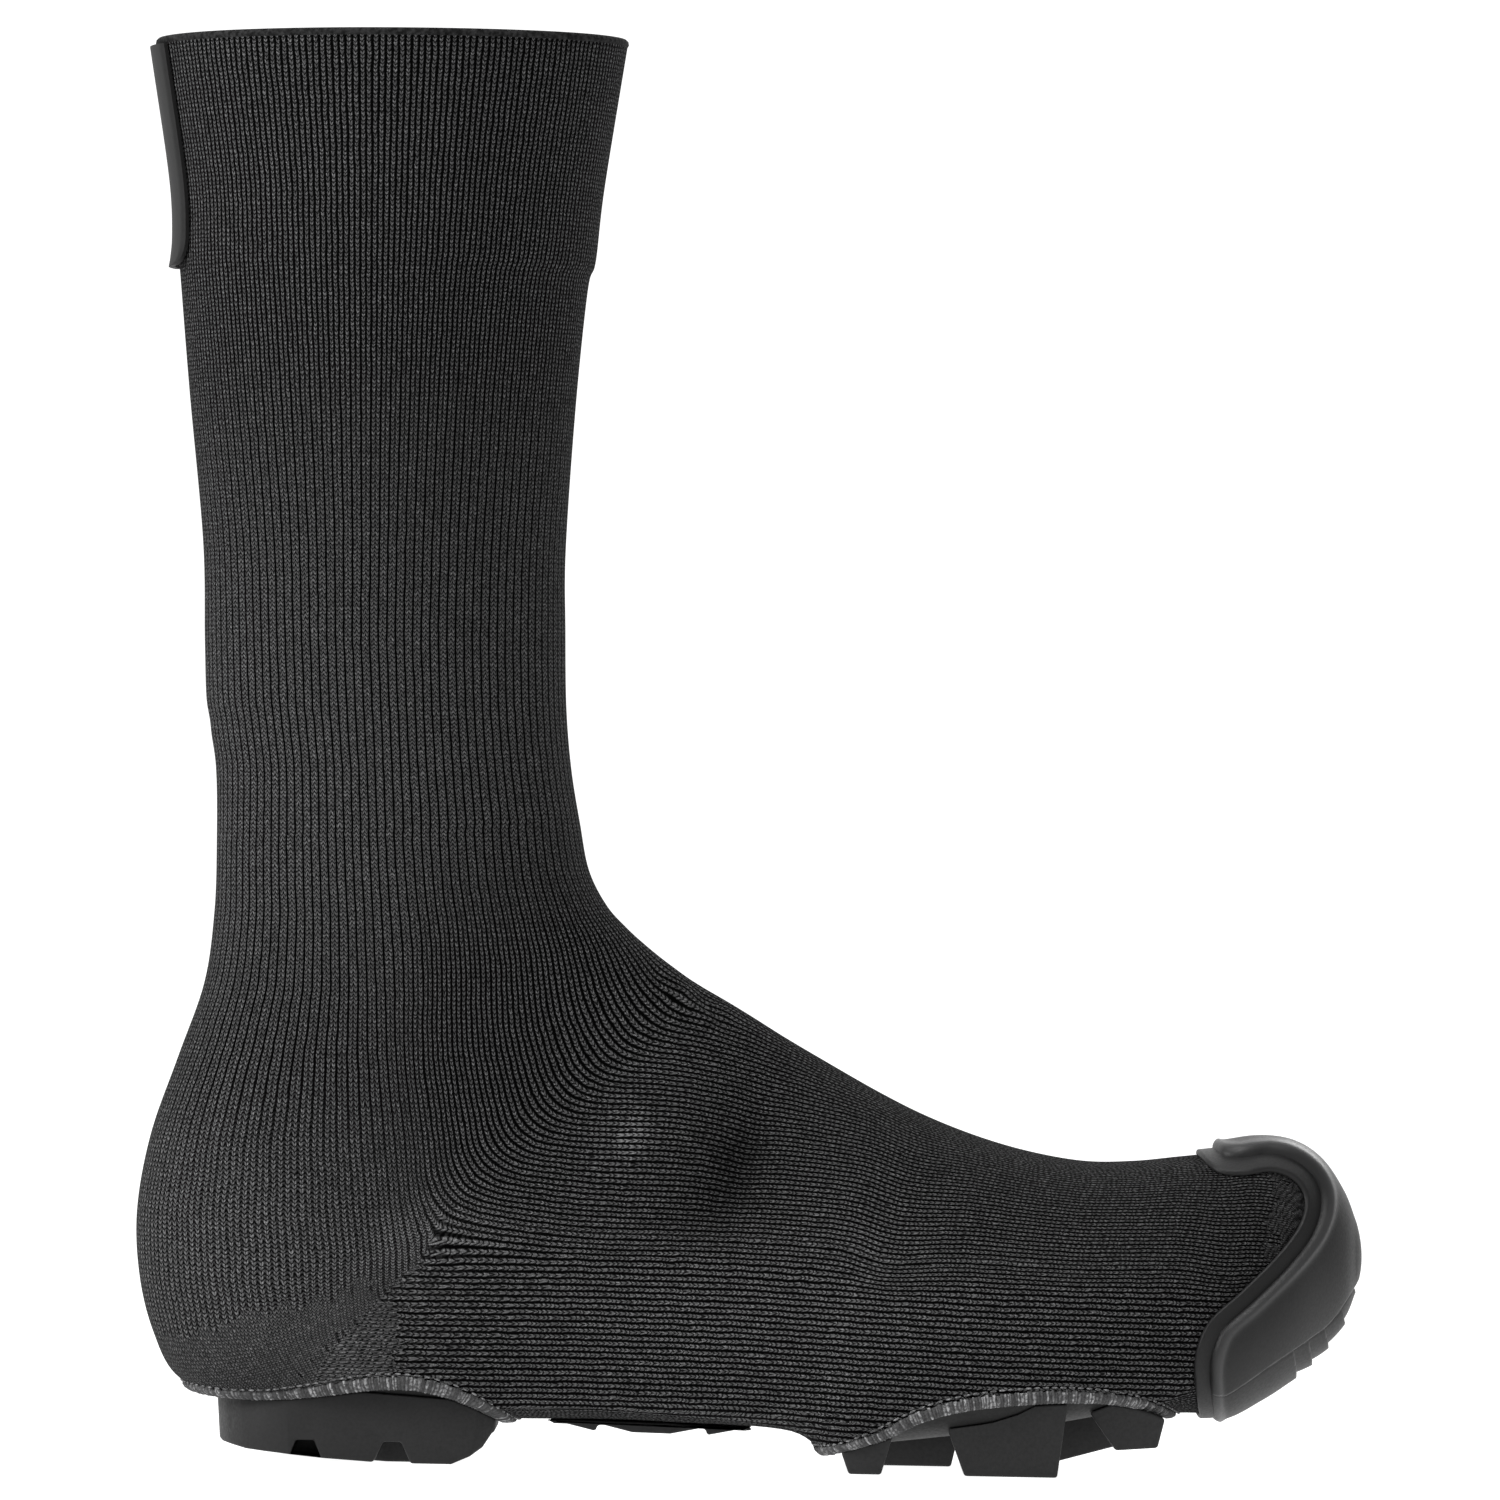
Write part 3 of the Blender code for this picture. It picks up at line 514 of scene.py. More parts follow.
# %% Cutting a mesh
def cut_along(bm, field):
    """Split the faces of a bmesh along the zero line of a field; gives the field at every vertex."""
    bm.verts.index_update()
    values = [float(v) for v in field(np.array([tuple(v.co) for v in bm.verts]))]
    crossing = [e for e in bm.edges if values[e.verts[0].index] * values[e.verts[1].index] < 0.0]
    new_points = []
    for edge in crossing:
        start, end = edge.verts
        share = values[start.index] / (values[start.index] - values[end.index])
        _edge, point = bmesh.utils.edge_split(edge, start, share)
        point.index = len(values)
        values.append(0.0)
        new_points.append(point)
    touched = dict.fromkeys(face for point in new_points for face in point.link_faces)
    for face in touched:
        ends = [v for v in face.verts if values[v.index] == 0.0]
        if len(ends) == 2:
            bmesh.utils.face_split(face, ends[0], ends[1])
    return values


def cut_away(bm, field):
    """Cut a bmesh along the zero line of a field and remove the part where the field is negative."""
    values = cut_along(bm, field)
    lost = [f for f in bm.faces if min(values[v.index] for v in f.verts) < 0.0]
    bmesh.ops.delete(bm, geom=lost, context="FACES")
    loose = [v for v in bm.verts if not v.link_faces]
    bmesh.ops.delete(bm, geom=loose, context="VERTS")


trial_cut = joined_bmesh(grid_mesh("trial", trial))
cut_away(trial_cut, lambda points: points[:, 2] - INSTEP_HEIGHT)
print("faces of the trial form above the instep:", len(trial_cut.faces))
trial_cut.free()

# %% [markdown]
# ## Where the ribs run
# On the leg the ribs run down, and on the foot they run along. In front of the ankle they turn in round arcs
# like a fan, and low on the heel they meet along a slanted line, the gore, with a sharp corner in every rib.
# The rib in the middle of the leg reaches the top of the gore, so the numbers are counted from it: by the
# angle round the leg behind it, by the level below it, and evenly from it to the front line.

# %% Upper grid
UPPER_ROWS = 300
UPPER_COLUMNS = 72
TIP_ROWS = 12
TIP_START = 0.08

body_rows = np.linspace(0.0, LAST_ROW, UPPER_ROWS - TIP_ROWS)
upper_place = np.concatenate([body_rows, LAST_ROW + np.linspace(TIP_START, 1.0, TIP_ROWS)])
upper_points, upper_out = soft_form(upper_place, UPPER_COLUMNS)
upper_around = np.broadcast_to(around_shares(UPPER_COLUMNS), upper_points.shape[:2])
print("upper grid:", upper_points.shape[:2])

# %% Middle rib
RIBS_PER_SIDE = 105
GORE_LOW = (-107.8, 19.1)
GORE_HIGH = (-77.3, 50.7)
MIDDLE_RIB_LEG = [(-91.5, 410.0), (-91.0, 200.0), (-88.0, 150.0), (-84.0, 100.0), GORE_HIGH]
MIDDLE_SMOOTHING = 12
MIDDLE_RIB_FOOT = [GORE_HIGH, (-40.0, 51.0), (0.0, 50.5), (60.0, 48.0), (160.0, 46.0)]

gore_line = np.array([GORE_LOW, GORE_HIGH]) * MM
middle_leg = np.array(MIDDLE_RIB_LEG) * MM
middle_foot = np.array(MIDDLE_RIB_FOOT) * MM


def smooth_step(value, start, end):
    share = np.clip((value - start) / (end - start), 0.0, 1.0)
    return share * share * (3.0 - 2.0 * share)


def softened(values, reach):
    """A row of values with each one averaged over its neighbours within the reach."""
    window = np.ones(2 * reach + 1) / (2 * reach + 1)
    return np.convolve(np.pad(values, reach, mode="edge"), window, mode="valid")


def middle_shares():
    """Share of the way round at which the middle rib crosses each row of the upper's grid."""
    line = np.vstack([middle_leg, middle_foot[1:]])
    outer = np.arange(2 * UPPER_COLUMNS - 1, UPPER_COLUMNS, -1)
    ahead = line_distance(line, upper_points[:, outer])
    shares = []
    for distances in ahead:
        after = max(int(np.argmax(distances < 0.0)), 1)
        step = distances[after - 1] / (distances[after - 1] - distances[after])
        shares.append((after + step) / UPPER_COLUMNS)
    return np.array(shares)


row_middles = softened(softened(middle_shares(), MIDDLE_SMOOTHING), MIDDLE_SMOOTHING)
print("share of the middle rib: collar", round(row_middles[0], 3), "toe", round(row_middles[-20], 3))

# %% Leg and foot ribs
CROWDING = [(70.0, 0.42), (140.0, 0.27), (200.0, 0.27), (340.0, 0.06)]
FOOT_PITCH = 1.47 * MM
SOLE_HALF_WIDTH = 30 * MM


def outline(end, rows):
    """Heights and places of the front or back of the leg's slices, from low to high."""
    pairs = [side_place(getattr(r, end + "_at"), getattr(r, end + "_up")) for r in rows]
    pairs.sort(key=lambda pair: pair[1])
    return np.array(pairs)[:, 1], np.array(pairs)[:, 0]


def leg_half_width(z):
    rows = SECTIONS[:row_number("heel_corner")]
    widths = np.array([r.half_width for r in rows]) / 100.0 * BALL_WIDTH
    heights = np.array([0.5 * (r.front_up + r.back_up) for r in rows]) / 100.0 * INSTEP_HEIGHT
    return np.interp(z, heights[::-1], widths[::-1])


def leg_ribs(points):
    """Rib numbers of the leg, by the angle about an upright axis, a little crowded at the sides."""
    x, y, z = points[..., 0], points[..., 1], points[..., 2]
    back_z, back_x = outline("back", SECTIONS[:row_number("heel_seat_rear")])
    front_z, front_x = outline("front", SECTIONS[:row_number("bend_high")])
    axis = np.interp(z, middle_leg[::-1, 1], middle_leg[::-1, 0])
    reach_back = axis - np.interp(z, back_z, back_x)
    reach_front = np.interp(z, front_z, front_x) - axis
    reach = (x - axis) / np.where(x > axis, reach_front, reach_back)
    angle = np.arctan2(np.abs(y) / leg_half_width(z), reach)
    crowd = np.interp(z / MM, *np.array(CROWDING).T)
    return RIBS_PER_SIDE * (1.0 - (angle - 0.5 * crowd * np.sin(2.0 * angle)) / math.pi)


def foot_ribs(points):
    """Rib numbers of the foot below the middle rib, by level on its side and by the way in under the sole."""
    drop = np.interp(points[..., 0], middle_foot[:, 0], middle_foot[:, 1]) - points[..., 2]
    under = np.maximum(SOLE_HALF_WIDTH - np.abs(points[..., 1]), 0.0)
    return 0.5 * RIBS_PER_SIDE - (drop + under) / FOOT_PITCH


print("ribs on the leg:", 2 * RIBS_PER_SIDE)

# %% Fan and joined ribs
FAN_ROWS = (row_number("ankle_low"), row_number("heel_seat_front"))
FAN_EDGE = (0.93, 1.09)
FAN_CROWD = 0.28
FAN_FADE = 0.06
FAN_MIDDLE = row_number("heel_turn") - 0.5
Jog = namedtuple("Jog", "x z length width angle ribs")
JOGS = [Jog(-15.9, 116.0, 5.5, 3.6, 0.0, 1.0), Jog(-6.4, 111.6, 5.0, 3.2, 0.0, 0.8)]
JOG_SIDE = (2 * MM, 9 * MM)


def jogs(points):
    """Small waves in the ribs on the outer side, where the knit is caught over the shoe's closure."""
    total = np.zeros(points.shape[:-1])
    for jog in JOGS:
        total -= jog.ribs * spot(points, jog)
    return total * smooth_step(-points[..., 1], *JOG_SIDE)


def fan_ribs():
    """Rib numbers from the front line to the middle rib, turning from the leg's spacing to the foot's."""
    share = upper_around / row_middles[:, None]
    turned = smooth_step(upper_place, *FAN_ROWS)[:, None]
    crowd = FAN_CROWD * np.exp(-FAN_FADE * (upper_place - FAN_MIDDLE) ** 2)[:, None]
    share = share - crowd * np.maximum(share * (1.0 - share), 0.0)
    ankle = int(np.argmin(np.abs(upper_place - FAN_ROWS[0])))
    order = slice(0, UPPER_COLUMNS + 1)
    ankle_ribs = leg_ribs(upper_points[ankle])[order]
    round_ankle = np.interp(share * row_middles[ankle], upper_around[0, order], ankle_ribs)
    return round_ankle * (1.0 - turned) + RIBS_PER_SIDE * (1.0 - 0.5 * share) * turned


def rib_numbers():
    """Two rib numbers over the grid; the smaller one counts, and where they cross lies the gore."""
    by_leg = leg_ribs(upper_points)
    behind = smooth_step(upper_around / row_middles[:, None], *FAN_EDGE)
    on_leg = (upper_place <= FAN_ROWS[0])[:, None]
    front = fan_ribs() * (1.0 - behind)
    shift = jogs(upper_points)
    leg_number = np.where(on_leg, by_leg, front + by_leg * behind + shift)
    foot_number = np.where(on_leg, by_leg, front + foot_ribs(upper_points) * behind + shift)
    return leg_number, foot_number


ribs_leg, ribs_foot = rib_numbers()
print("rib numbers from", round(float(ribs_foot.min()), 1), "to", round(float(ribs_leg.max()), 1))

# %% [markdown]
# ## The knit upper
# The sock is one tube of rib knit with a wall of 1.8 mm. The dense grid over the soft form is cut along both
# hem lines, and a Solidify modifier gives the wall, with its inner face inside. Each vertex keeps the rib
# numbers, the count of stitches along its rib, and how much that count shifts from one rib to the next.

# %% Stitch numbers
COURSE_LEG = 1.06 * MM
COURSE_FOOT = 1.25 * MM
PAIRED_HEIGHTS = (190 * MM, 270 * MM)
PAIRED_ROWS = (row_number("ankle"), row_number("bend_low"))
PAIRED_EDGE = (0.85, 1.05)
HEEL_OPEN = 0.65
HEEL_HEIGHTS = (100 * MM, 150 * MM)
GORE_BLEND = 2.0
STEEPEST_SHEAR = 3.0


def stitch_counts():
    """Number of stitches along each rib, counted down the leg and through the fan, then along the foot."""
    step = np.linalg.norm(np.diff(upper_points, axis=0), axis=2)
    course = COURSE_LEG + (COURSE_FOOT - COURSE_LEG) * smooth_step(upper_place[1:], *FAN_ROWS)
    walked = np.vstack([np.zeros((1, step.shape[1])), np.cumsum(step / course[:, None], axis=0)])
    along = upper_points[..., 0] / COURSE_FOOT
    number = np.minimum(ribs_leg, ribs_foot)
    end = int(np.argmin(np.abs(upper_place - FAN_ROWS[1])))
    order = np.argsort(number[end])
    start = np.interp(number, number[end][order], (walked - along)[end][order])
    return np.where((upper_place <= upper_place[end])[:, None], walked, along + start)


def stitch_shear(counts):
    """Change of the stitch count straight across from one rib to the next, from both fields' slopes."""
    number = np.minimum(ribs_leg, ribs_foot)
    count_down, count_round = np.gradient(counts)
    rib_down, rib_round = np.gradient(number)
    down, round_about = (np.gradient(upper_points, axis=axis) for axis in (0, 1))
    e, f, g = ((a * b).sum(-1) for a, b in ((down, down), (down, round_about), (round_about, round_about)))
    both = g * count_down * rib_down - f * (count_down * rib_round + count_round * rib_down)
    both = both + e * count_round * rib_round
    steep = g * rib_down ** 2 - 2.0 * f * rib_down * rib_round + e * rib_round ** 2
    return np.clip(both / np.maximum(steep, 1e-12), -STEEPEST_SHEAR, STEEPEST_SHEAR)


def pairing():
    """How far every second groove is closed: on the lower leg and heel, not at the cuff or on the foot."""
    low, high = PAIRED_HEIGHTS
    by_height = np.clip((high - upper_points[..., 2]) / (high - low), 0.0, 1.0)
    in_front = 1.0 - smooth_step(upper_around / row_middles[:, None], *PAIRED_EDGE)
    opened = smooth_step(upper_place, *PAIRED_ROWS)[:, None] * in_front
    on_foot = np.clip((ribs_leg - ribs_foot) / GORE_BLEND, 0.0, 1.0)
    heel_open = HEEL_OPEN * (1.0 - smooth_step(upper_points[..., 2], *HEEL_HEIGHTS))
    return by_height * (1.0 - opened) * (1.0 - on_foot) * (1.0 - heel_open)


counts = stitch_counts()
knit_fields = {
    "ribs_leg": ribs_leg, "ribs_foot": ribs_foot, "course": counts,
    "shear": stitch_shear(counts), "pairing": pairing(),
}
print("stitches down the front:", round(float(counts[-1, 0])))

# %% Knit upper
KNIT_UNDER_HEM = 1.2 * MM


def add_piece(name, mesh, slot, *nodes):
    """Show a mesh as a piece of the overshoe, in place of its plain solid."""
    piece = bpy.data.objects.new(name, mesh)
    bpy.context.scene.collection.objects.link(piece)
    for polygon in mesh.polygons:
        polygon.use_smooth = True
    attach(piece, "root")
    if nodes:
        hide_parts(*nodes)
    return piece


def hem_field(name, inset):
    """A field that is zero along a hem's line, moved by an inset into the knit."""
    line = HEM_LINES[name]
    return lambda points: line_distance(line, points) - inset


def knit_mesh():
    mesh = grid_mesh("knit_upper", upper_points)
    for name, values in knit_fields.items():
        store(mesh, name, values)
    bm = joined_bmesh(mesh)
    for name in HEM_LINES:
        cut_away(bm, hem_field(name, KNIT_UNDER_HEM))
    return written(bm, mesh)


knit = add_piece("knit_upper", knit_mesh(), "knit", "upper")
wall = knit.modifiers.new("wall", "SOLIDIFY")
wall.thickness = KNIT_WALL
wall.offset = -1.0
print("knit:", len(knit.data.vertices), "vertices on the outer face")

# %% [markdown]
# ## Zones of the knit
# The cup of the heel and the tip of the toe are plain, finer knit. The heel pocket is stretched and looks
# lighter, and so do a few spots where the shoe strains the yarn. A few patches on the sides of the foot and
# the instep are made lighter too. Other patches are painted light: a painted highlight on the lit edge of
# the bump, and painted shade in the hollows next to the bump, in the pocket of knit beside the toe cap and
# on the front of the leg. Each zone is a smooth field too: the fine knit switches on where its field is
# positive, and the brightness patches, with their painted light and shade, brighten or darken the yarn.

# %% Zones
FINE_HEEL_BACK = (-141.5 * MM, 28.0 * MM)
FINE_HEEL_RISE = 0.32
FINE_GORE_EDGE = -84.0 * MM
FINE_TOE_START = 128.6 * MM
POCKET = (-118.0 * MM, 52.0 * MM, 42.0 * MM, 30.0 * MM)

Patch = namedtuple("Patch", "name x z length width angle gain")
PATCHES = [
    Patch("heel pocket", -128.0, 52.0, 30.0, 34.0, 0.0, 0.30),
    Patch("strained corner of the gore", -80.0, 56.0, 11.0, 6.0, 30.0, 0.55),
    # Painted highlight on the lit upper edge of the bump, on top of the lighter stretched yarn there.
    Patch("painted highlight on the strained edge of the bump", -28.0, 80.6, 2.9, 4.6, -12.0, 1.5),
    Patch("foot side", -30.0, 36.0, 62.0, 28.0, 0.0, 0.3),
    Patch("ball side", 60.0, 40.0, 55.0, 26.0, 0.0, 0.26),
    # Painted shade in the hollows next to the bump.
    Patch("painted shade in the hollow by the bump", -0.5, 73.5, 13.0, 8.0, 75.0, -0.48),
    Patch("painted shade in the hollow below the bump", -10.0, 61.0, 13.0, 5.5, 14.0, -0.25),
    # Painted shade in the pocket of knit beside the toe cap, a recess.
    Patch("painted shade in the toe pocket", 124.0, 58.0, 14.0, 22.0, 0.0, -0.12),
    Patch("finer knit by the gore", -94.0, 22.0, 11.0, 12.0, 0.0, 0.55),
    Patch("side of the instep", -36.0, 112.0, 26.0, 14.0, -40.0, 0.2),
    Patch("foot of the fan", -60.0, 62.0, 16.0, 12.0, 0.0, 0.13),
    # Painted shade on the front of the leg, the side turned from the key light.
    Patch("painted shade on the front of the shin", -44.0, 190.0, 12.0, 80.0, 0.0, -0.12),
]


def tone_and_painted_light(points):
    """How much brighter or darker the yarn is painted at each point, painted light and shade included; 1
    leaves it as it is.
    """
    total = np.ones(points.shape[:-1])
    for patch in PATCHES:
        total += patch.gain * spot(points, patch)
    return total


def fine_zone(points):
    """Positive where the knit is plain and fine: the heel cup, the gore's foot and the toe."""
    across = -line_distance(gore_line, points)
    cup_top = FINE_HEEL_BACK[1] + FINE_HEEL_RISE * (points[..., 0] - FINE_HEEL_BACK[0])
    behind = np.minimum(cup_top - points[..., 2], -across)
    ahead = np.minimum(FINE_GORE_EDGE - points[..., 0], across)
    toe = points[..., 0] - FINE_TOE_START
    return np.maximum(np.maximum(behind, ahead), toe) / MM


def heel_pocket(points):
    """1 in the middle of the loose, dotted knit of the heel, fading out round it."""
    x, z, long, high = POCKET
    return np.exp(-((points[..., 0] - x) / long) ** 4 - ((points[..., 2] - z) / high) ** 4)


knit_points = vertex_points(knit.data)
knit_tone_and_painted_light = tone_and_painted_light(knit_points)
store(knit.data, "tone_and_painted_light", knit_tone_and_painted_light)
store(knit.data, "fine", fine_zone(knit_points))
store(knit.data, "pocket", heel_pocket(knit_points))
print("tone from", round(float(knit_tone_and_painted_light.min()), 2), "to", round(float(knit_tone_and_painted_light.max()), 2))

# %% [markdown]
# ## Helpers for finishes
# A material is a small graph of nodes. These helpers add a node, feed its sockets with numbers or with other
# nodes, and hand back its output, so a finish below reads almost like a formula.

# %% Node helpers
def new_finish(name, roughness, specular=0.5):
    material = bpy.data.materials.new(name)
    material.use_nodes = True
    tree = material.node_tree
    shader = tree.nodes["Principled BSDF"]
    shader.inputs["Roughness"].default_value = roughness
    shader.inputs["Specular IOR Level"].default_value = specular
    return material, tree, shader


def feed(tree, value, socket):
    if isinstance(value, bpy.types.NodeSocket):
        tree.links.new(value, socket)
    else:
        socket.default_value = value


def calc(tree, operation, *values):
    node = tree.nodes.new("ShaderNodeMath")
    node.operation = operation
    for value, socket in zip(values, node.inputs):
        feed(tree, value, socket)
    return node.outputs[0]


def ease(tree, value, start, end, low=0.0, high=1.0):
    """A soft step from low to high while the value goes from start to end."""
    node = tree.nodes.new("ShaderNodeMapRange")
    node.interpolation_type = "SMOOTHSTEP"
    for given, socket in zip((value, start, end, low, high), node.inputs):
        feed(tree, given, socket)
    return node.outputs[0]


def kept(tree, name):
    node = tree.nodes.new("ShaderNodeAttribute")
    node.attribute_name = name
    return node.outputs["Fac"]


trial_finish, trial_tree, trial_shader = new_finish("trial", 0.5)
print("a new finish has the nodes", [node.name for node in trial_tree.nodes])

# %% Pattern helpers
def noise(tree, scale, detail=2.0):
    place = tree.nodes.new("ShaderNodeTexCoord")
    node = tree.nodes.new("ShaderNodeTexNoise")
    tree.links.new(place.outputs["Object"], node.inputs["Vector"])
    node.inputs["Scale"].default_value = scale
    node.inputs["Detail"].default_value = detail
    return node.outputs["Fac"]


def cell_noise(tree, first, second):
    """A random number for each stitch, from its rib and its course."""
    joined = tree.nodes.new("ShaderNodeCombineXYZ")
    feed(tree, calc(tree, "FLOOR", first), joined.inputs["X"])
    feed(tree, calc(tree, "FLOOR", second), joined.inputs["Y"])
    node = tree.nodes.new("ShaderNodeTexWhiteNoise")
    node.noise_dimensions = "2D"
    tree.links.new(joined.outputs[0], node.inputs["Vector"])
    return node.outputs["Value"]


def shade_between(tree, share, dark, light):
    node = tree.nodes.new("ShaderNodeMix")
    node.data_type = "RGBA"
    feed(tree, share, node.inputs["Factor"])
    node.inputs[6].default_value = (*dark, 1.0)
    node.inputs[7].default_value = (*light, 1.0)
    return node.outputs[2]


def bump(tree, shader, height, distance, strength=1.0):
    node = tree.nodes.new("ShaderNodeBump")
    feed(tree, height, node.inputs["Height"])
    node.inputs["Distance"].default_value = distance
    node.inputs["Strength"].default_value = strength
    tree.links.new(node.outputs["Normal"], shader.inputs["Normal"])


def paint(tree, shader, share, dark, light):
    """Colour a finish between a dark and a light shade."""
    tree.links.new(shade_between(tree, share, dark, light), shader.inputs["Base Color"])


paint(trial_tree, trial_shader, noise(trial_tree, 100.0), (0.0, 0.0, 0.0), (1.0, 1.0, 1.0))
print("a painted finish has the nodes", [node.name for node in trial_tree.nodes])
bpy.data.materials.remove(trial_finish)

# %% [markdown]
# ## The knit's finish
# A rib is a chain of loops, and the two legs of each loop lean to each other like a V. A groove lies
# between two ribs. Below the calf the ribs lie in pairs, and the groove inside a pair is only a row of small
# holes. The same pattern drives the bump, which gives the ridges their shading, and the colour: the grooves,
# the holes and the gaps between loops are painted dark as painted shade, since a bump casts none. Fine
# painted glints stand for the light caught by the single fibres of the yarn.

# %% Grooves and loops
LOOP_LEAN = 0.8
LOOP_WANDER = 1.3
LOOP_WANDER_SCALE = 520.0
PAIR_CLOSED = 0.72
LEG_GAP_LIGHT = 0.55
OUTER_GROOVE = (0.13, 0.37)
INNER_GROOVE = (0.11, 0.34)
HOLE_DEPTH = 0.7
DOTTED = 0.25
LEG_GAP = 0.13


def fold_distance(tree, value, period, start):
    """Distance from the nearest line of a row of lines that lie a period apart."""
    place = calc(tree, "ADD", calc(tree, "DIVIDE", calc(tree, "SUBTRACT", value, start), period), 0.5)
    from_line = calc(tree, "ABSOLUTE", calc(tree, "SUBTRACT", calc(tree, "FRACT", place), 0.5))
    return calc(tree, "MULTIPLY", from_line, period)


def mixed(tree, share, first, second):
    """The first value where the share is 0 and the second where it is 1."""
    return calc(tree, "MULTIPLY_ADD", share, calc(tree, "SUBTRACT", second, first), first)


def loop_phase(tree, rib):
    """Count of loops along a rib, with the legs of each loop leaning to the middle of the rib."""
    aside = calc(tree, "SUBTRACT", calc(tree, "FRACT", rib), 0.5)
    shift = calc(tree, "MULTIPLY", kept(tree, "shear"), aside)
    uneven = calc(tree, "MULTIPLY", calc(tree, "SUBTRACT", noise(tree, LOOP_WANDER_SCALE), 0.5), LOOP_WANDER)
    level = calc(tree, "ADD", calc(tree, "SUBTRACT", kept(tree, "course"), shift), uneven)
    return calc(tree, "MULTIPLY_ADD", calc(tree, "ABSOLUTE", aside), 2.0 * LOOP_LEAN, level)


def rib_ridges(tree, rib, hole):
    """Height of the ribs: a groove on each side, some closed to rows of holes, and a gap between the legs."""
    outer = ease(tree, fold_distance(tree, rib, 2.0, 0.0), *OUTER_GROOVE)
    inner = ease(tree, fold_distance(tree, rib, 2.0, 1.0), *INNER_GROOVE)
    bridge = calc(tree, "MULTIPLY_ADD", hole, -HOLE_DEPTH, 1.0)
    closed = calc(tree, "MULTIPLY", calc(tree, "MULTIPLY", kept(tree, "pairing"), PAIR_CLOSED), bridge)
    inner = mixed(tree, closed, inner, 1.0)
    dotted = calc(tree, "MULTIPLY", kept(tree, "pocket"), calc(tree, "SUBTRACT", 1.0, hole))
    outer = mixed(tree, calc(tree, "MULTIPLY", dotted, DOTTED), outer, 1.0)
    legs = ease(tree, fold_distance(tree, rib, 1.0, 0.5), 0.0, LEG_GAP, LEG_GAP_LIGHT, 1.0)
    return calc(tree, "MULTIPLY", calc(tree, "MULTIPLY", outer, inner), legs)


print("each leg of a loop leans by", LOOP_LEAN, "of a loop")

# %% Rib places
RIB_WANDER = 0.45
RIB_WANDER_SCALE = 260.0
GORE_ROUND = 0.8
FINE_ROW = 1.8
FINE_BORDER = 16.0
FINE_BORDER_SCALE = 300.0


def fine_knit(tree):
    """1 on the finer knit and 0 elsewhere, with a ragged border."""
    uneven = calc(tree, "SUBTRACT", noise(tree, FINE_BORDER_SCALE), 0.5)
    ragged = calc(tree, "MULTIPLY", uneven, FINE_BORDER)
    return calc(tree, "GREATER_THAN", calc(tree, "ADD", kept(tree, "fine"), ragged), 0.0)


def rib_place(tree, is_fine):
    """Rib number at a point; ribs wander a little off the middle lines and crowd on the finer knit."""
    number = calc(tree, "SMOOTH_MIN", kept(tree, "ribs_leg"), kept(tree, "ribs_foot"), GORE_ROUND)
    uneven = calc(tree, "SUBTRACT", noise(tree, RIB_WANDER_SCALE), 0.5)
    wander = calc(tree, "MULTIPLY", uneven, RIB_WANDER)
    from_middle = calc(tree, "MINIMUM", number, calc(tree, "SUBTRACT", float(RIBS_PER_SIDE), number))
    wander = calc(tree, "MULTIPLY", wander, ease(tree, from_middle, 0.0, 1.0))
    rib = calc(tree, "ADD", number, wander)
    return calc(tree, "MULTIPLY", rib, calc(tree, "MULTIPLY_ADD", is_fine, FINE_ROW - 1.0, 1.0))


print("ribs of the fine knit lie", FINE_ROW, "times as close")

# %% Knit finish
# The darkest shade is the painted shade deep in the grooves.
YARN_DARK = (0.0006, 0.0006, 0.0006)
YARN_LIGHT = (0.205, 0.205, 0.2075)
RIB_RELIEF = 0.45 * MM
FINE_FLATNESS = 0.4
FINE_LEVEL = 0.7
STROKE_START = (0.04, 0.26)
STROKE_END = (0.6, 0.9)
STROKE_LIGHT = 0.93
STROKE_RELIEF = 0.45
HOLE_EDGE = (0.2, 0.42)
FIBRE_SCALE = 2300.0
FIBRE_RANGE = (0.5, 0.72)
PAINTED_GLINT_LIGHT = 0.55
YARN_CHANCE = 0.16
YARN_LEAST = 0.32


def yarn_light(tree, rib, phase):
    """Brightness of the yarn, uneven from stitch to stitch, with painted glints on its fibres."""
    # Painted glints: bright specks that stand for the light caught by single fibres.
    painted_glint = ease(tree, noise(tree, FIBRE_SCALE, 1.0), *FIBRE_RANGE)
    fibres = calc(tree, "MULTIPLY_ADD", painted_glint, PAINTED_GLINT_LIGHT, YARN_LEAST)
    return calc(tree, "MULTIPLY_ADD", cell_noise(tree, rib, phase), YARN_CHANCE, fibres)


def knit_light(tree):
    """Brightness of the knit between its darkest and lightest, with painted shade in its grooves, holes and
    gaps, and its height.
    """
    is_fine = fine_knit(tree)
    rib = rib_place(tree, is_fine)
    phase = loop_phase(tree, rib)
    in_loop = calc(tree, "FRACT", phase)
    rise, fall = ease(tree, in_loop, *STROKE_START), ease(tree, in_loop, *STROKE_END, 1.0, 0.0)
    stroke = calc(tree, "MULTIPLY", rise, fall)
    hole = ease(tree, calc(tree, "ABSOLUTE", calc(tree, "SUBTRACT", in_loop, 0.5)), *HOLE_EDGE)
    flat = calc(tree, "MULTIPLY", is_fine, FINE_FLATNESS)
    ridge = mixed(tree, flat, rib_ridges(tree, rib, hole), FINE_LEVEL)
    # Painted shade: the colour darkens between the loops and, through the ridge height, in the grooves and
    # holes.
    light = calc(tree, "MULTIPLY_ADD", stroke, STROKE_LIGHT, 1.0 - STROKE_LIGHT)
    light = calc(tree, "MULTIPLY", calc(tree, "MULTIPLY", ridge, light), yarn_light(tree, rib, phase))
    light = calc(tree, "MULTIPLY", light, kept(tree, "tone_and_painted_light"))
    return light, calc(tree, "MULTIPLY_ADD", stroke, STROKE_RELIEF, ridge)


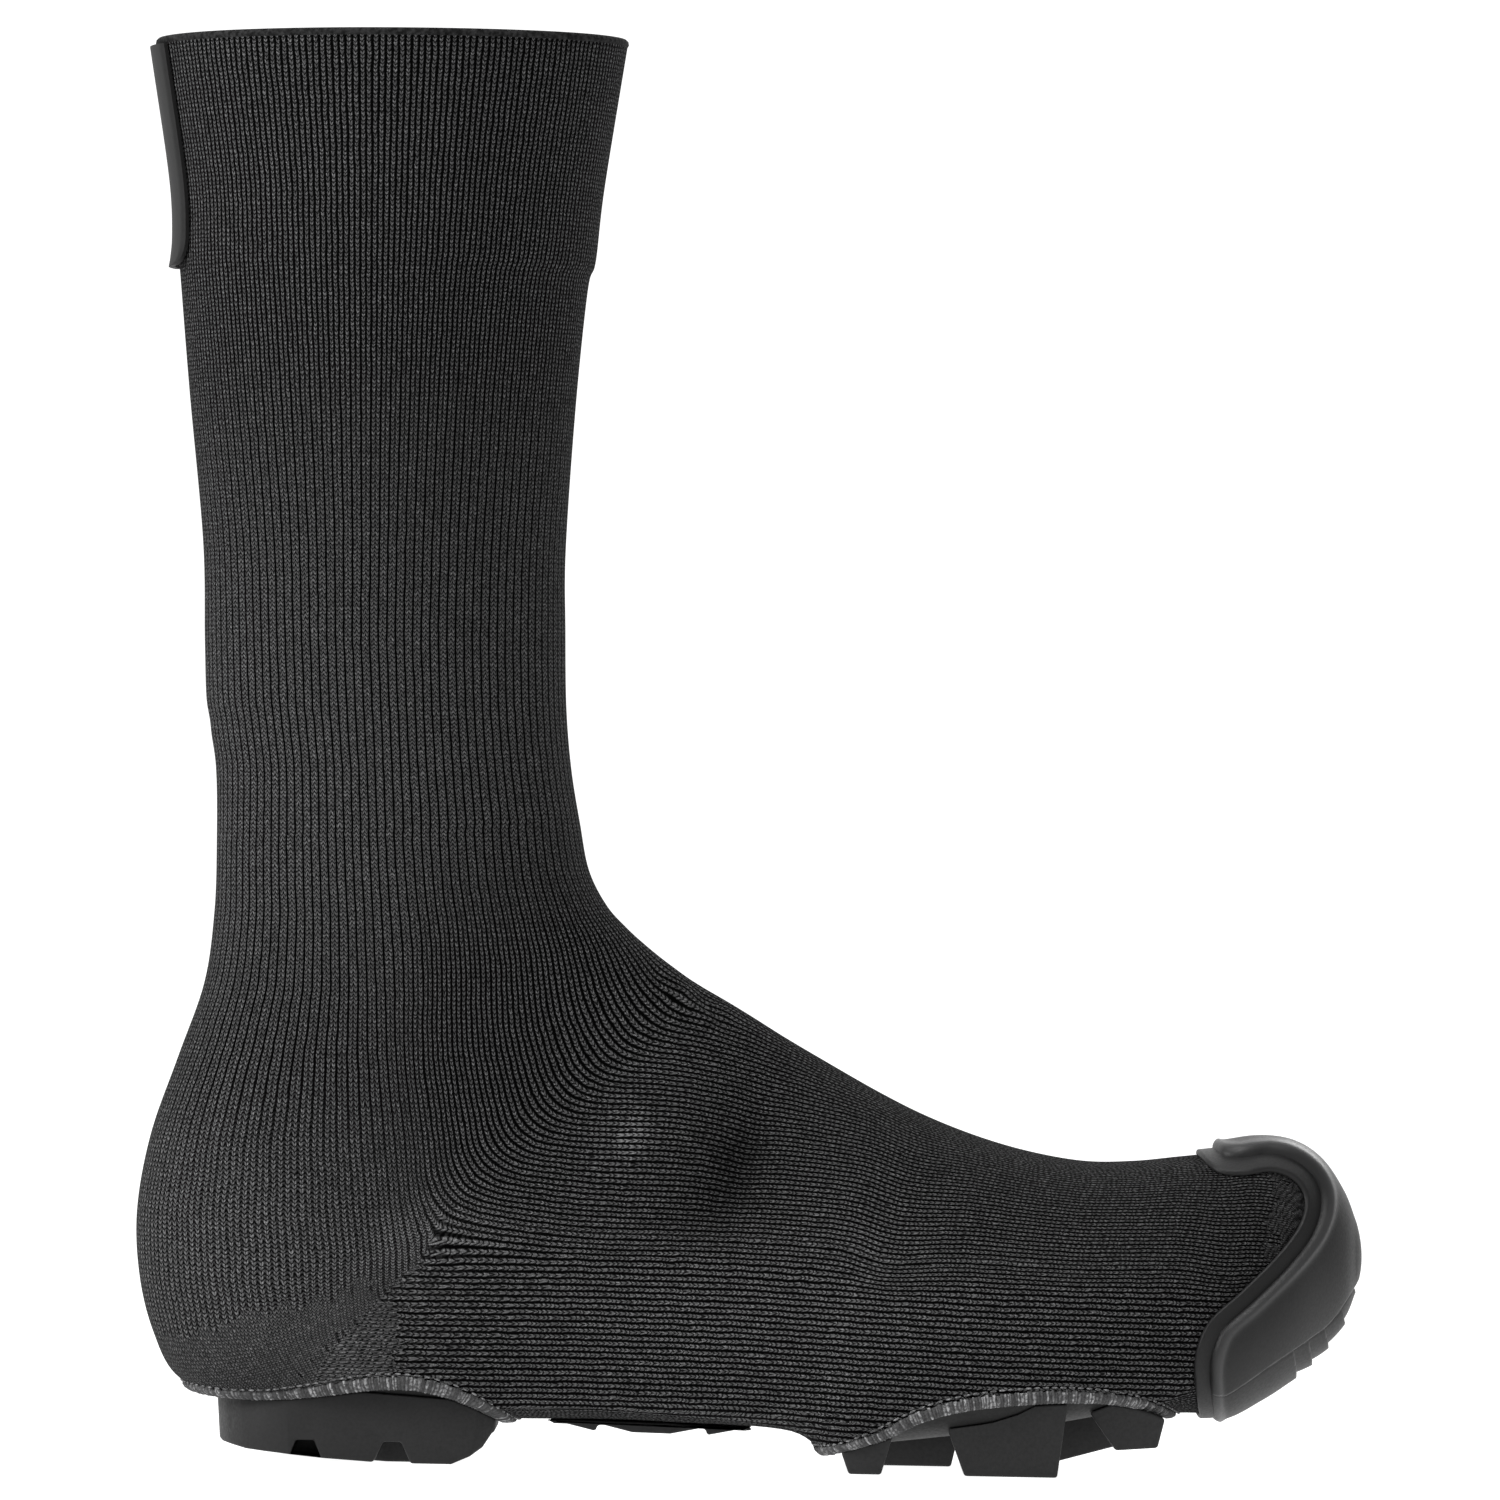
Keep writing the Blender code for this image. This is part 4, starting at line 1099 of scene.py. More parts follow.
def knit_finish():
    material, tree, shader = new_finish("rib_knit", 0.95, 0.02)
    light, height = knit_light(tree)
    paint(tree, shader, light, YARN_DARK, YARN_LIGHT)
    bump(tree, shader, height, RIB_RELIEF, 0.9)
    return material


rib_knit = knit_finish()
knit.data.materials.append(rib_knit)
print("knit finish:", len(rib_knit.node_tree.nodes), "nodes")

# %% [markdown]
# ## Rolled collar
# The cuff is folded to double, and the fold makes a smooth round edge at the mouth. A round bar is swept
# along the collar's loop, so it hides the flat rim of the wall.

# %% Rolled collar
COLLAR_RADIUS = 1.15 * MM
COLLAR_STEPS = 10
COLLAR_SINK = 0.55 * MM
COLLAR_DARK = (0.006, 0.006, 0.006)
COLLAR_LIGHT = (0.03, 0.03, 0.0305)


def swept(name, centres, aside, upward, outline_points):
    """A closed bar along a closed loop; the outline is given as sideways and upward reaches."""
    rings = [centres + a * aside + b * upward for a, b in outline_points]
    return grid_mesh(name, np.stack(rings + rings[:1], axis=0))


def collar_mesh():
    top = upper_points[0]
    down = upper_points[1] - upper_points[0]
    upward = -down / np.linalg.norm(down, axis=1, keepdims=True)
    out = upper_out[0]
    centres = top - out * (0.5 * KNIT_WALL) - upward * COLLAR_SINK
    turns = np.linspace(0.0, 2.0 * math.pi, COLLAR_STEPS, endpoint=False)
    outline_points = [(COLLAR_RADIUS * math.cos(t), COLLAR_RADIUS * math.sin(t)) for t in turns]
    return closed_mesh(swept("collar_fold", centres, out, upward, outline_points))


def smooth_knit_finish():
    material, tree, shader = new_finish("smooth_knit", 0.9, 0.05)
    shade = ease(tree, noise(tree, 900.0, 3.0), 0.3, 0.75)
    paint(tree, shader, shade, COLLAR_DARK, COLLAR_LIGHT)
    bump(tree, shader, noise(tree, 1400.0), 0.15 * MM)
    return material


collar = add_piece("collar_fold", collar_mesh(), "knit")
collar.data.materials.append(smooth_knit_finish())
print("collar fold:", len(collar.data.vertices), "vertices")

# %% [markdown]
# ## Overlocked hems
# The cut edges of the two openings are bound by overlock stitches: thread loops wrap the edge every
# millimetre or so, and a line of straight stitches runs above them. The loop of each opening is read off a
# cut surface, then a rounded band is swept round it. Its outline is raised and lowered along the way, so
# each wrap of thread is a real ridge.

# %% Opening loops
LOOPS_BELOW = 100 * MM


def walk_round(edges):
    """Vertices of a closed loop of edges, in order."""
    links = {}
    for edge in edges:
        for a, b in (edge.verts, reversed(edge.verts)):
            links.setdefault(a, []).append(b)
    start = edges[0].verts[0]
    loop, before, here = [start], None, start
    while True:
        after = [v for v in links[here] if v is not before][0]
        if after is start:
            return loop
        loop.append(after)
        before, here = here, after


def opening_loop(name):
    """The closed line where a hem meets the form, found on a finely cut surface."""
    bm = joined_bmesh(grid_mesh("loop_finder", upper_points))
    cut_away(bm, hem_field(name, 0.0))
    rims = [e for e in bm.edges if e.is_boundary and max(v.co.z for v in e.verts) < LOOPS_BELOW]
    places = np.array([tuple(v.co) for v in walk_round(rims)])
    bm.free()
    return places


hem_loops = {name: opening_loop(name) for name in HEM_LINES}
print("hem loops:", {name: len(loop) for name, loop in hem_loops.items()}, "points")

# %% Even steps, and places on the form
LOOP_SMOOTHING = 8


def loop_walk(places):
    """A closed line with its start repeated at its end, and the length walked up to each place."""
    closed = np.vstack([places, places[:1]])
    steps = np.linalg.norm(np.diff(closed, axis=0), axis=1)
    return closed, np.concatenate([[0.0], np.cumsum(steps)])


def steps_round(places, pitch):
    """How many steps of about a pitch go round a closed line."""
    _closed, walked = loop_walk(places)
    return int(round(walked[-1] / pitch))


def even_loop(places, count):
    """A closed line in even steps, with its small corners smoothed."""
    closed, walked = loop_walk(places)
    steps = np.linspace(0.0, walked[-1], count, endpoint=False)
    even = np.stack([np.interp(steps, walked, closed[:, k]) for k in range(3)], axis=1)
    for _turn in range(LOOP_SMOOTHING):
        even = 0.5 * even + 0.25 * (np.roll(even, 1, axis=0) + np.roll(even, -1, axis=0))
    return even


def form_finder():
    """A search tree over the form, for nearest places and for rays."""
    bm = joined_bmesh(grid_mesh("form", upper_points))
    bmesh.ops.recalc_face_normals(bm, faces=bm.faces)
    finder = BVHTree.FromBMesh(bm)
    bm.free()
    return finder


form_tree = form_finder()


def on_form(points):
    """Nearest places on the form, and the outward directions there."""
    found = [form_tree.find_nearest(Vector(p)) for p in points]
    return np.array([tuple(f[0]) for f in found]), np.array([tuple(f[1]) for f in found])


for hem_name, hem_loop in hem_loops.items():
    print(hem_name, "is", round(loop_walk(hem_loop)[1][-1] / MM), "mm round")

# %% Wraps of thread
WRAP_PITCH = 0.8 * MM
WRAP_SPREAD = (0.6, 1.4)
DIRECTION_SMOOTHING = 6


def hem_directions(loop):
    """Outward directions along a hem's loop, and directions on the form away from the opening."""
    _near, out = on_form(loop)
    for _turn in range(DIRECTION_SMOOTHING):
        out = out + np.roll(out, 1, axis=0) + np.roll(out, -1, axis=0)
        out = out / np.linalg.norm(out, axis=1, keepdims=True)
    ahead = np.roll(loop, -1, axis=0) - np.roll(loop, 1, axis=0)
    inward = np.cross(out, ahead)
    inward = inward / np.linalg.norm(inward, axis=1, keepdims=True)
    away = np.mean(np.sum(inward * (loop - loop.mean(axis=0)), axis=1))
    return out, inward * np.sign(away)


def wrap_places(count, wraps, draw):
    """Number of the wrap at each step, and the share of the way through it, with uneven wraps."""
    ends = np.concatenate([[0.0], np.cumsum(draw.uniform(*WRAP_SPREAD, wraps))])
    index = np.interp(np.arange(count) / count, ends / ends[-1], np.arange(wraps + 1))
    return index.astype(int) % wraps, index % 1.0


print("wraps of thread:", {name: steps_round(loop, WRAP_PITCH) for name, loop in hem_loops.items()})

# %% Hem bands
HEM_OUTLINE = [
    (3.9, 0.05), (3.7, 0.45), (3.0, 0.72), (2.0, 0.8), (1.0, 0.75), (0.3, 0.45), (-0.1, -0.1), (-0.25, -0.8),
    (-0.1, -1.6), (0.4, -2.2), (1.2, -2.45), (2.4, -2.4), (3.2, -2.2), (3.4, -1.5),
]
HEM_WIDTH = {"heel_hem": 1.0, "forefoot_hem": 0.8}
WRAP_HEIGHT = 0.36 * MM
STEPS_PER_WRAP = 6
WRAP_JITTER = 0.3
JITTER_ABOVE = 2.5
RIDGE_SPREAD = (0.6, 1.15)
RIDGE_POWER = 0.7
FACE_LIFT = -0.2
EDGE_UP = 1.5
MIDDLE_LIFT = -0.8
TONE_POWER = 1.6
HEM_SEED = 7
THREAD_DARK = (0.004, 0.004, 0.004)
THREAD_LIGHT = (0.34, 0.34, 0.345)


def hem_rings(name, loop, jitter, ridge):
    """Rings of points round an opening, one for each place on the band's outline."""
    _out, inward = hem_directions(loop)
    rings = []
    for up, lift in HEM_OUTLINE:
        reach = HEM_WIDTH[name] * up + jitter * (up > JITTER_ABOVE)
        near, direction = on_form(loop + inward * (reach * MM)[:, None])
        bulge = ridge * WRAP_HEIGHT * (lift > FACE_LIFT or up < EDGE_UP)
        sign = 1.0 if lift > MIDDLE_LIFT else -1.0
        rings.append(near + direction * (lift * MM + sign * bulge)[:, None])
    return np.stack(rings + rings[:1], axis=0)


def hem_mesh(name):
    wraps = steps_round(hem_loops[name], WRAP_PITCH)
    count = wraps * STEPS_PER_WRAP
    draw = np.random.default_rng(HEM_SEED)
    wrap, phase = wrap_places(count, wraps, draw)
    jitter = draw.uniform(-WRAP_JITTER, WRAP_JITTER, wraps)[wrap]
    bow = np.sin(math.pi * phase)
    ridge = bow ** RIDGE_POWER * draw.uniform(*RIDGE_SPREAD, wraps)[wrap]
    rings = hem_rings(name, even_loop(hem_loops[name], count), jitter, ridge)
    mesh = grid_mesh(name, rings)
    store(mesh, "thread", np.tile(draw.uniform(0.0, 1.0, wraps)[wrap] ** TONE_POWER, (len(rings), 1)))
    store(mesh, "ridge", np.tile(bow, (len(rings), 1)))
    return closed_mesh(mesh)


def hem_finish():
    material, tree, shader = new_finish("overlock_thread", 0.85, 0.2)
    spun = noise(tree, 2200.0, 2.0)
    share = calc(tree, "MULTIPLY", kept(tree, "thread"), kept(tree, "ridge"))
    speck = ease(tree, noise(tree, 1300.0), 0.42, 0.62, 0.15, 1.0)
    share = calc(tree, "MULTIPLY_ADD", spun, 0.25, calc(tree, "MULTIPLY", share, speck))
    paint(tree, shader, share, THREAD_DARK, THREAD_LIGHT)
    bump(tree, shader, spun, 0.12 * MM)
    return material


overlock = hem_finish()
for hem_name in HEM_LINES:
    hem = add_piece(hem_name + "_overlock", hem_mesh(hem_name), "hem_thread", hem_name)
    hem.data.materials.append(overlock)
    print(hem.name, len(hem.data.polygons), "faces")

# %% [markdown]
# ## Stitches above the hems
# A row of short straight stitches holds each overlocked edge down. Curve objects or instances would do, but
# one small mesh is light and easy to colour: a thread that dips at both ends, set along the loop over and
# over, a little sunk into the knit.

# %% Hem stitches
STITCH_PITCH = 2.1 * MM
STITCH_SIZE = np.array([0.8, 0.26, 0.26]) * MM
STITCH_UP = {"heel_hem": 4.9 * MM, "forefoot_hem": 4.1 * MM}
STITCH_LIFT = 0.12 * MM
STITCH_AROUND = 8
STITCH_ALONG = 7
STITCH_TONES = (0.15, 0.8)
STITCH_SEED = 11


def stitch_shape(around, along):
    """A closed round thread of unit size, thin at both ends."""
    turn = np.linspace(0.0, 2.0 * math.pi, around, endpoint=False)
    place = np.linspace(0.0, math.pi, along)
    thick = np.sin(place)[:, None]
    length = np.broadcast_to(-np.cos(place)[:, None], (along, around))
    return np.stack([length, thick * np.cos(turn), thick * np.sin(turn)], axis=-1)


def stitch_places(name):
    """Places of the stitches along a hem, with their axes: ahead, across and outwards."""
    loop = even_loop(hem_loops[name], steps_round(hem_loops[name], STITCH_PITCH))
    _out, inward = hem_directions(loop)
    near, out = on_form(loop + inward * STITCH_UP[name])
    ahead = np.roll(near, -1, axis=0) - np.roll(near, 1, axis=0)
    ahead = ahead / np.linalg.norm(ahead, axis=1, keepdims=True)
    return near + out * STITCH_LIFT, np.stack([ahead, np.cross(out, ahead), out], axis=1)


def stitch_mesh(name):
    shape = stitch_shape(STITCH_AROUND, STITCH_ALONG) * STITCH_SIZE
    bm = bmesh.new()
    for place, axes in zip(*stitch_places(name)):
        bm.from_mesh(grid_mesh("stitch", shape @ axes + place))
    mesh = bpy.data.meshes.new(name)
    bm.to_mesh(mesh)
    bm.free()
    mesh = closed_mesh(mesh)
    draw = np.random.default_rng(STITCH_SEED)
    store(mesh, "thread", draw.uniform(*STITCH_TONES, len(mesh.vertices)))
    store(mesh, "ridge", np.ones(len(mesh.vertices)))
    return mesh


for hem_name in HEM_LINES:
    row = add_piece(hem_name + "_stitches", stitch_mesh(hem_name), "hem_thread")
    row.data.materials.append(overlock)
    print(row.name, len(row.data.polygons), "faces")

# %% [markdown]
# ## Toe cap
# The cap is moulded rubber: a thin flange that lies on the knit, a raised panel with a rounded border, and a
# stepped tread under a thin seam. A fine piece of the form is cut along the cap's edge and pulled out into a
# shell. How far each point is pulled depends on its distance from the edge and from the seam, so the bead,
# the crease and the teeth are all real geometry.

# %% Toe cap lines
CAP_EDGE = [
    (85.7, 80.4), (86.4, 72.0), (87.2, 68.6), (88.4, 65.9), (90.3, 65.4), (92.7, 66.3), (94.5, 64.6),
    (95.4, 60.6), (94.9, 54.9), (93.0, 48.2), (90.2, 40.7), (87.7, 34.5), (86.7, 28.6), (86.5, 23.2),
    (86.9, 17.0), (87.5, 11.6), (88.0, 3.6),
]
CAP_SEAM = [
    (86.5, 18.0), (88.2, 19.8), (89.1, 20.0), (92.4, 26.0),
    (95.8, 32.1), (97.3, 35.7), (99.2, 43.4), (101.0, 50.9),
]
TOOTH_ENDS = [87.6, 94.1, 95.3, 96.6, 97.9, 98.9, 99.8]
TOOTH_LEAN = 0.2

cap_edge = smooth_line(CAP_EDGE)
cap_seam = smooth_line(CAP_SEAM)


def tooth_place(points):
    """Percent of the length at which the line of a tooth through each point leaves the seam."""
    at = (points[..., 0] / LENGTH + 0.5) * 100.0
    below = np.maximum(-line_distance(cap_seam, points), 0.0)
    return at - TOOTH_LEAN * below / LENGTH * 100.0


def tooth_share(points):
    """Share of the way through a tooth of the tread, 0 at its rear and 1 at its front."""
    at = tooth_place(points)
    ends = np.array(TOOTH_ENDS)
    index = np.clip(np.searchsorted(ends, at), 1, len(ends) - 1)
    return np.clip((at - ends[index - 1]) / (ends[index] - ends[index - 1]), 0.0, 1.0)


print("cap edge", len(cap_edge), "points; seam", len(cap_seam))

# %% Toe cap heights
TOOTH_AT_SEAM = 0.35
CAP_FLANGE = 1.0 * MM
FLANGE_LIP = 0.35
CAP_PANEL = 2.6 * MM
CAP_TREAD = 3.3 * MM
FLANGE_WIDTH = 3.4 * MM
SHOULDER = 1.3 * MM
BEAD_WIDTH = 0.9 * MM
BEAD_PROUD = 0.5 * MM
EDGE_ROUND = 0.6 * MM
SEAM_DEPTH = 0.22 * MM
SEAM_HALF_WIDTH = 0.22 * MM
TOOTH_STEP = 1.7 * MM
TOOTH_EDGE = 0.02
NOSE = (95.0, 99.5)
NOSE_PROUD = 0.5 * MM
TREAD_NOSE = (93.5, 97.5)
TREAD_RISE = 1.9 * MM
TREAD_REACH = 7.0 * MM
# Painted shade: how much darker the tread is painted.
TREAD_PAINTED_SHADE = 0.14


def rounded_rise(distance, run):
    """A step that starts steeply and rounds over into the flat."""
    share = np.clip(distance / run, 0.0, 1.0)
    return np.sqrt(1.0 - (1.0 - share) ** 2)


def cap_heights(points):
    """Thickness of the cap over the knit, and its painted light: painted highlights on the bead, the seam and
    the tooth edges, painted shade on the tread.
    """
    inside = line_distance(cap_edge, points)
    below = -line_distance(cap_seam, points)
    flange = CAP_FLANGE * (FLANGE_LIP + (1.0 - FLANGE_LIP) * rounded_rise(inside, EDGE_ROUND))
    shoulder = rounded_rise(inside - FLANGE_WIDTH, SHOULDER)
    reach = np.clip(below / TREAD_REACH, 0.0, 1.0)
    at = (points[..., 0] / LENGTH + 0.5) * 100.0
    nose = smooth_step(at, *NOSE)
    deep = TOOTH_AT_SEAM + (1.0 - TOOTH_AT_SEAM) * reach
    drop = TOOTH_STEP * deep * (1.0 - tooth_share(points))
    rise = CAP_TREAD - CAP_PANEL + TREAD_RISE * smooth_step(at, *TREAD_NOSE)
    tread = CAP_PANEL + rise * reach - drop
    body = np.where(below > 0.0, tread, CAP_PANEL) + NOSE_PROUD * nose
    border = np.exp(-((inside - FLANGE_WIDTH - SHOULDER) / BEAD_WIDTH) ** 2)
    height = flange + (body + BEAD_PROUD * border - CAP_FLANGE) * shoulder
    seam = np.exp(-(below / SEAM_HALF_WIDTH) ** 2) * shoulder
    # Thin lines along the tooth edges get a painted highlight.
    to_teeth = np.abs(tooth_place(points)[..., None] - np.array(TOOTH_ENDS[1:]))
    on_edge = to_teeth.min(axis=-1) < 2.0 * TOOTH_EDGE
    # Painted highlights on the bead, the seam and the tooth edges, less painted shade on the tread.
    painted_highlight = np.maximum(border * shoulder, np.maximum(0.5 * seam, on_edge * (below > 0.0)))
    return height - SEAM_DEPTH * seam, painted_highlight - TREAD_PAINTED_SHADE * reach


print("cap:", CAP_FLANGE / MM, "mm at its flange and", CAP_PANEL / MM, "mm on its panel")

# %% Toe cap sheet
CAP_ROWS = 150
CAP_COLUMNS = 140
CAP_FIRST_ROW = row_number("toe_root") + 0.4
ROW_SEARCH = 2000
OUT_FIELDS = ("out_x", "out_y", "out_z")
CREASE_INSETS = [0.25, 0.6, 3.4, 3.52, 3.8, 4.2, 4.7, 5.4]
SEAM_CUTS = [-0.5, -0.2, 0.02, 0.2, 0.5]


def even_rows(first, last, count):
    """Row numbers whose slices lie evenly apart along the top of the toe."""
    dense = np.linspace(first, last, ROW_SEARCH)
    sizes = section_sizes(dense)
    x, z = side_place(sizes["front_at"], sizes["front_up"])
    walked = np.concatenate([[0.0], np.cumsum(np.hypot(np.diff(x), np.diff(z)))])
    return np.interp(np.linspace(0.0, walked[-1], count), walked, dense)


def cut_creases(bm):
    """Give the cap's mesh edges along the flange, the shoulder, the seam and both sides of each tooth."""
    for inset in CREASE_INSETS:
        cut_along(bm, lambda p, d=inset: line_distance(cap_edge, p) - d * MM)
    for offset in SEAM_CUTS:
        cut_along(bm, lambda p, d=offset: line_distance(cap_seam, p) - d * MM)
    for end in TOOTH_ENDS[1:]:
        for side in (-TOOTH_EDGE, TOOTH_EDGE):
            cut_along(bm, lambda p, e=end + side: tooth_place(p) - e)


def cap_blank():
    """The piece of the form under the cap, with its outward directions stored, cut along the cap's lines."""
    rows = even_rows(CAP_FIRST_ROW, LAST_ROW + 1.0, CAP_ROWS)
    points, out = soft_form(rows, CAP_COLUMNS)
    out[-1] = (1.0, 0.0, 0.0)
    mesh = grid_mesh("toe_cap_shell", points)
    for axis, name in enumerate(OUT_FIELDS):
        store(mesh, name, out[..., axis])
    bm = joined_bmesh(mesh)
    cut_away(bm, lambda p: line_distance(cap_edge, p))
    cut_creases(bm)
    return mesh, bm


cap_sheet, cap_bm = cap_blank()
print("sheet under the cap:", len(cap_bm.faces), "faces")

# %% Toe cap shell
CAP_SHARP_ANGLE = math.radians(40)


def sort_faces(bm):
    """Order the faces of a bmesh by their middles, because extruding adds a rim's faces in no fixed order."""
    faces = sorted(bm.faces, key=lambda face: tuple(face.calc_center_median()))
    rank = {face: number for number, face in enumerate(faces)}
    bm.faces.sort(key=rank.get)


def cap_mesh(mesh, bm):
    """The cut sheet, pulled out into a closed shell of the cap's thickness."""
    # The "border" layer carries the cap's painted highlights and painted shade.
    painted_light_layer = bm.verts.layers.float.new("border")
    layers = [bm.verts.layers.float[name] for name in OUT_FIELDS]
    made = bmesh.ops.extrude_face_region(bm, geom=bm.faces[:], use_keep_orig=True)
    outer = [v for v in made["geom"] if isinstance(v, bmesh.types.BMVert)]
    heights, painted_light = cap_heights(np.array([tuple(v.co) for v in outer]))
    lift = {vert: height for vert, height in zip(outer, heights)}
    for vert in bm.verts:
        direction = Vector([vert[layer] for layer in layers]).normalized()
        vert.co += direction * (GAP + lift.get(vert, 0.0))
    for vert, border in zip(outer, painted_light):
        vert[painted_light_layer] = border
    sort_faces(bm)
    return written(bm, mesh)


cap = add_piece("toe_cap_shell", cap_mesh(cap_sheet, cap_bm), "cap_rubber", "toe_cap")
cap.data.set_sharp_from_angle(angle=CAP_SHARP_ANGLE)
print("toe cap:", len(cap.data.polygons), "faces")

# %% Toe cap finish
CAP_DARK = (0.0042, 0.0042, 0.0043)
CAP_LIGHT = (0.046, 0.046, 0.0465)
CAP_CLOUD = 0.2
# Share of the light colour given to the painted highlights.
PAINTED_HIGHLIGHT_GAIN = 0.75
RUBBED_GLOSS = 0.14
GRAIN_RANGE = (0.2, 0.8)
CAP_DULLNESS = (0.45, 0.57)


def cap_finish():
    material, tree, shader = new_finish("cap_rubber", 0.5, 0.24)
    grain = noise(tree, 1500.0, 3.0)
    cloud = noise(tree, 45.0, 3.0)
    # The "border" attribute is painted light: it lightens the bead, the seam and the tooth edges as painted
    # highlights, darkens the tread as painted shade, and makes the edges glossier.
    painted_highlight_share = calc(tree, "MULTIPLY", kept(tree, "border"), PAINTED_HIGHLIGHT_GAIN)
    shade = calc(tree, "MULTIPLY_ADD", cloud, CAP_CLOUD, painted_highlight_share)
    paint(tree, shader, shade, CAP_DARK, CAP_LIGHT)
    dull = ease(tree, grain, *GRAIN_RANGE, *CAP_DULLNESS)
    rubbed = calc(tree, "MULTIPLY_ADD", kept(tree, "border"), -RUBBED_GLOSS, dull)
    tree.links.new(rubbed, shader.inputs["Roughness"])
    bump(tree, shader, grain, 0.05 * MM, 0.5)
    return material


cap.data.materials.append(cap_finish())
print("cap finish:", len(cap.active_material.node_tree.nodes), "nodes")

# %% [markdown]
# ## Back label
# A soft rubber tab wraps the back of the cuff and hangs free at its lower end. It is left bare. A small grid
# follows the back of the form, with round lower corners and a slight curl away from the knit at the tip.

# %% Back label places
LABEL_HALF_WIDTH = 17.5 * MM
LABEL_BOTTOM = 290.8 * MM
LABEL_TOP = 344.6 * MM
LABEL_CORNER = 6.0 * MM
BEHIND_CUFF = -200 * MM
LABEL_ROWS = 56
LABEL_COLUMNS = 40


def label_base():
    """Places behind the cuff from which the label is pressed onto it, row by row from its tip upwards."""
    across = np.linspace(-1.0, 1.0, LABEL_COLUMNS)
    rows = []
    for height in np.linspace(LABEL_BOTTOM, LABEL_TOP, LABEL_ROWS):
        drop = np.clip((LABEL_BOTTOM + LABEL_CORNER - height) / LABEL_CORNER, 0.0, 1.0)
        half = LABEL_HALF_WIDTH - LABEL_CORNER * (1.0 - math.sqrt(1.0 - drop ** 2))
        rows.append([(BEHIND_CUFF, half * a, height) for a in across])
    return np.array(rows).reshape(-1, 3), np.tile(across, LABEL_ROWS)


def label_faces():
    """Faces of the label: its inner sheet, its outer sheet and the rim between them."""
    columns, count = LABEL_COLUMNS, LABEL_ROWS * LABEL_COLUMNS
    i, j = np.meshgrid(np.arange(LABEL_ROWS - 1), np.arange(columns - 1), indexing="ij")
    a = (i * columns + j).ravel()
    sheet = np.stack([a, a + 1, a + columns + 1, a + columns], axis=1)
    lower, upper = np.arange(columns), np.arange(count - 2, count - columns - 1, -1)
    right, left = np.arange(2, LABEL_ROWS + 1) * columns - 1, np.arange(LABEL_ROWS - 2, 0, -1) * columns
    edge = np.concatenate([lower, right, upper, left])
    after = np.roll(edge, -1)
    rim = np.stack([edge, after, after + count, edge + count], axis=1)
    return np.vstack([sheet, sheet[:, ::-1] + count, rim])


print("label:", LABEL_ROWS, "rows of", LABEL_COLUMNS, "places")

# %% Back label
LABEL_THICKNESS = 1.5 * MM
LABEL_CURL = 0.9 * MM
LABEL_TIP = 7.0 * MM
LABEL_RIM = 0.08
RIM_THICKNESS = 0.6
LABEL_SHARP_ANGLE = math.radians(50)
LABEL_DARK = (0.004, 0.004, 0.004)
LABEL_LIGHT = (0.012, 0.012, 0.0122)


def label_mesh():
    base, across = label_base()
    hits = [form_tree.ray_cast(Vector(p), Vector((1.0, 0.0, 0.0))) for p in base]
    places = np.array([tuple(h[0]) for h in hits])
    out = np.array([tuple(h[1]) for h in hits])
    tip = np.clip((LABEL_BOTTOM + LABEL_TIP - places[:, 2]) / LABEL_TIP, 0.0, 1.0)
    rim = np.minimum(1.0 - np.abs(across), LABEL_RIM) / LABEL_RIM
    inner = places + out * (GAP + LABEL_CURL * tip ** 2)[:, None]
    thickness = LABEL_THICKNESS * (RIM_THICKNESS + (1.0 - RIM_THICKNESS) * np.sqrt(rim))
    outer = inner + out * thickness[:, None]
    mesh = bpy.data.meshes.new("back_label_tab")
    mesh.from_pydata(np.vstack([inner, outer]).tolist(), [], label_faces().tolist())
    return closed_mesh(mesh)


def label_finish():
    material, tree, shader = new_finish("label_rubber", 0.7, 0.22)
    grain = noise(tree, 1100.0, 3.0)
    paint(tree, shader, grain, LABEL_DARK, LABEL_LIGHT)
    bump(tree, shader, grain, 0.06 * MM, 0.6)
    return material


label = add_piece("back_label_tab", label_mesh(), "label_rubber", "back_label")
label.data.materials.append(label_finish())
label.data.set_sharp_from_angle(angle=LABEL_SHARP_ANGLE)
print("label:", len(label.data.polygons), "faces")

# %% [markdown]
# ## Sole
# The plate, heel and lugs of the shoe are rigid, and their solids already have the right shape. They stay,
# with a rubber finish that has fine grain and a dusting of wear. A solid comes as loose triangles, so a node
# group first joins them, and very short edges with them, because those would hold the Bevel back. A Decimate
# modifier dissolves the lines inside each flat face. Then a Bevel modifier can soften every real edge, as
# moulding does. The plate's edges hardly show, so it keeps all its points.

# %% Joined faces
SHORT_EDGE = 0.5 * MM
SMOOTH_ANGLE = math.radians(38)


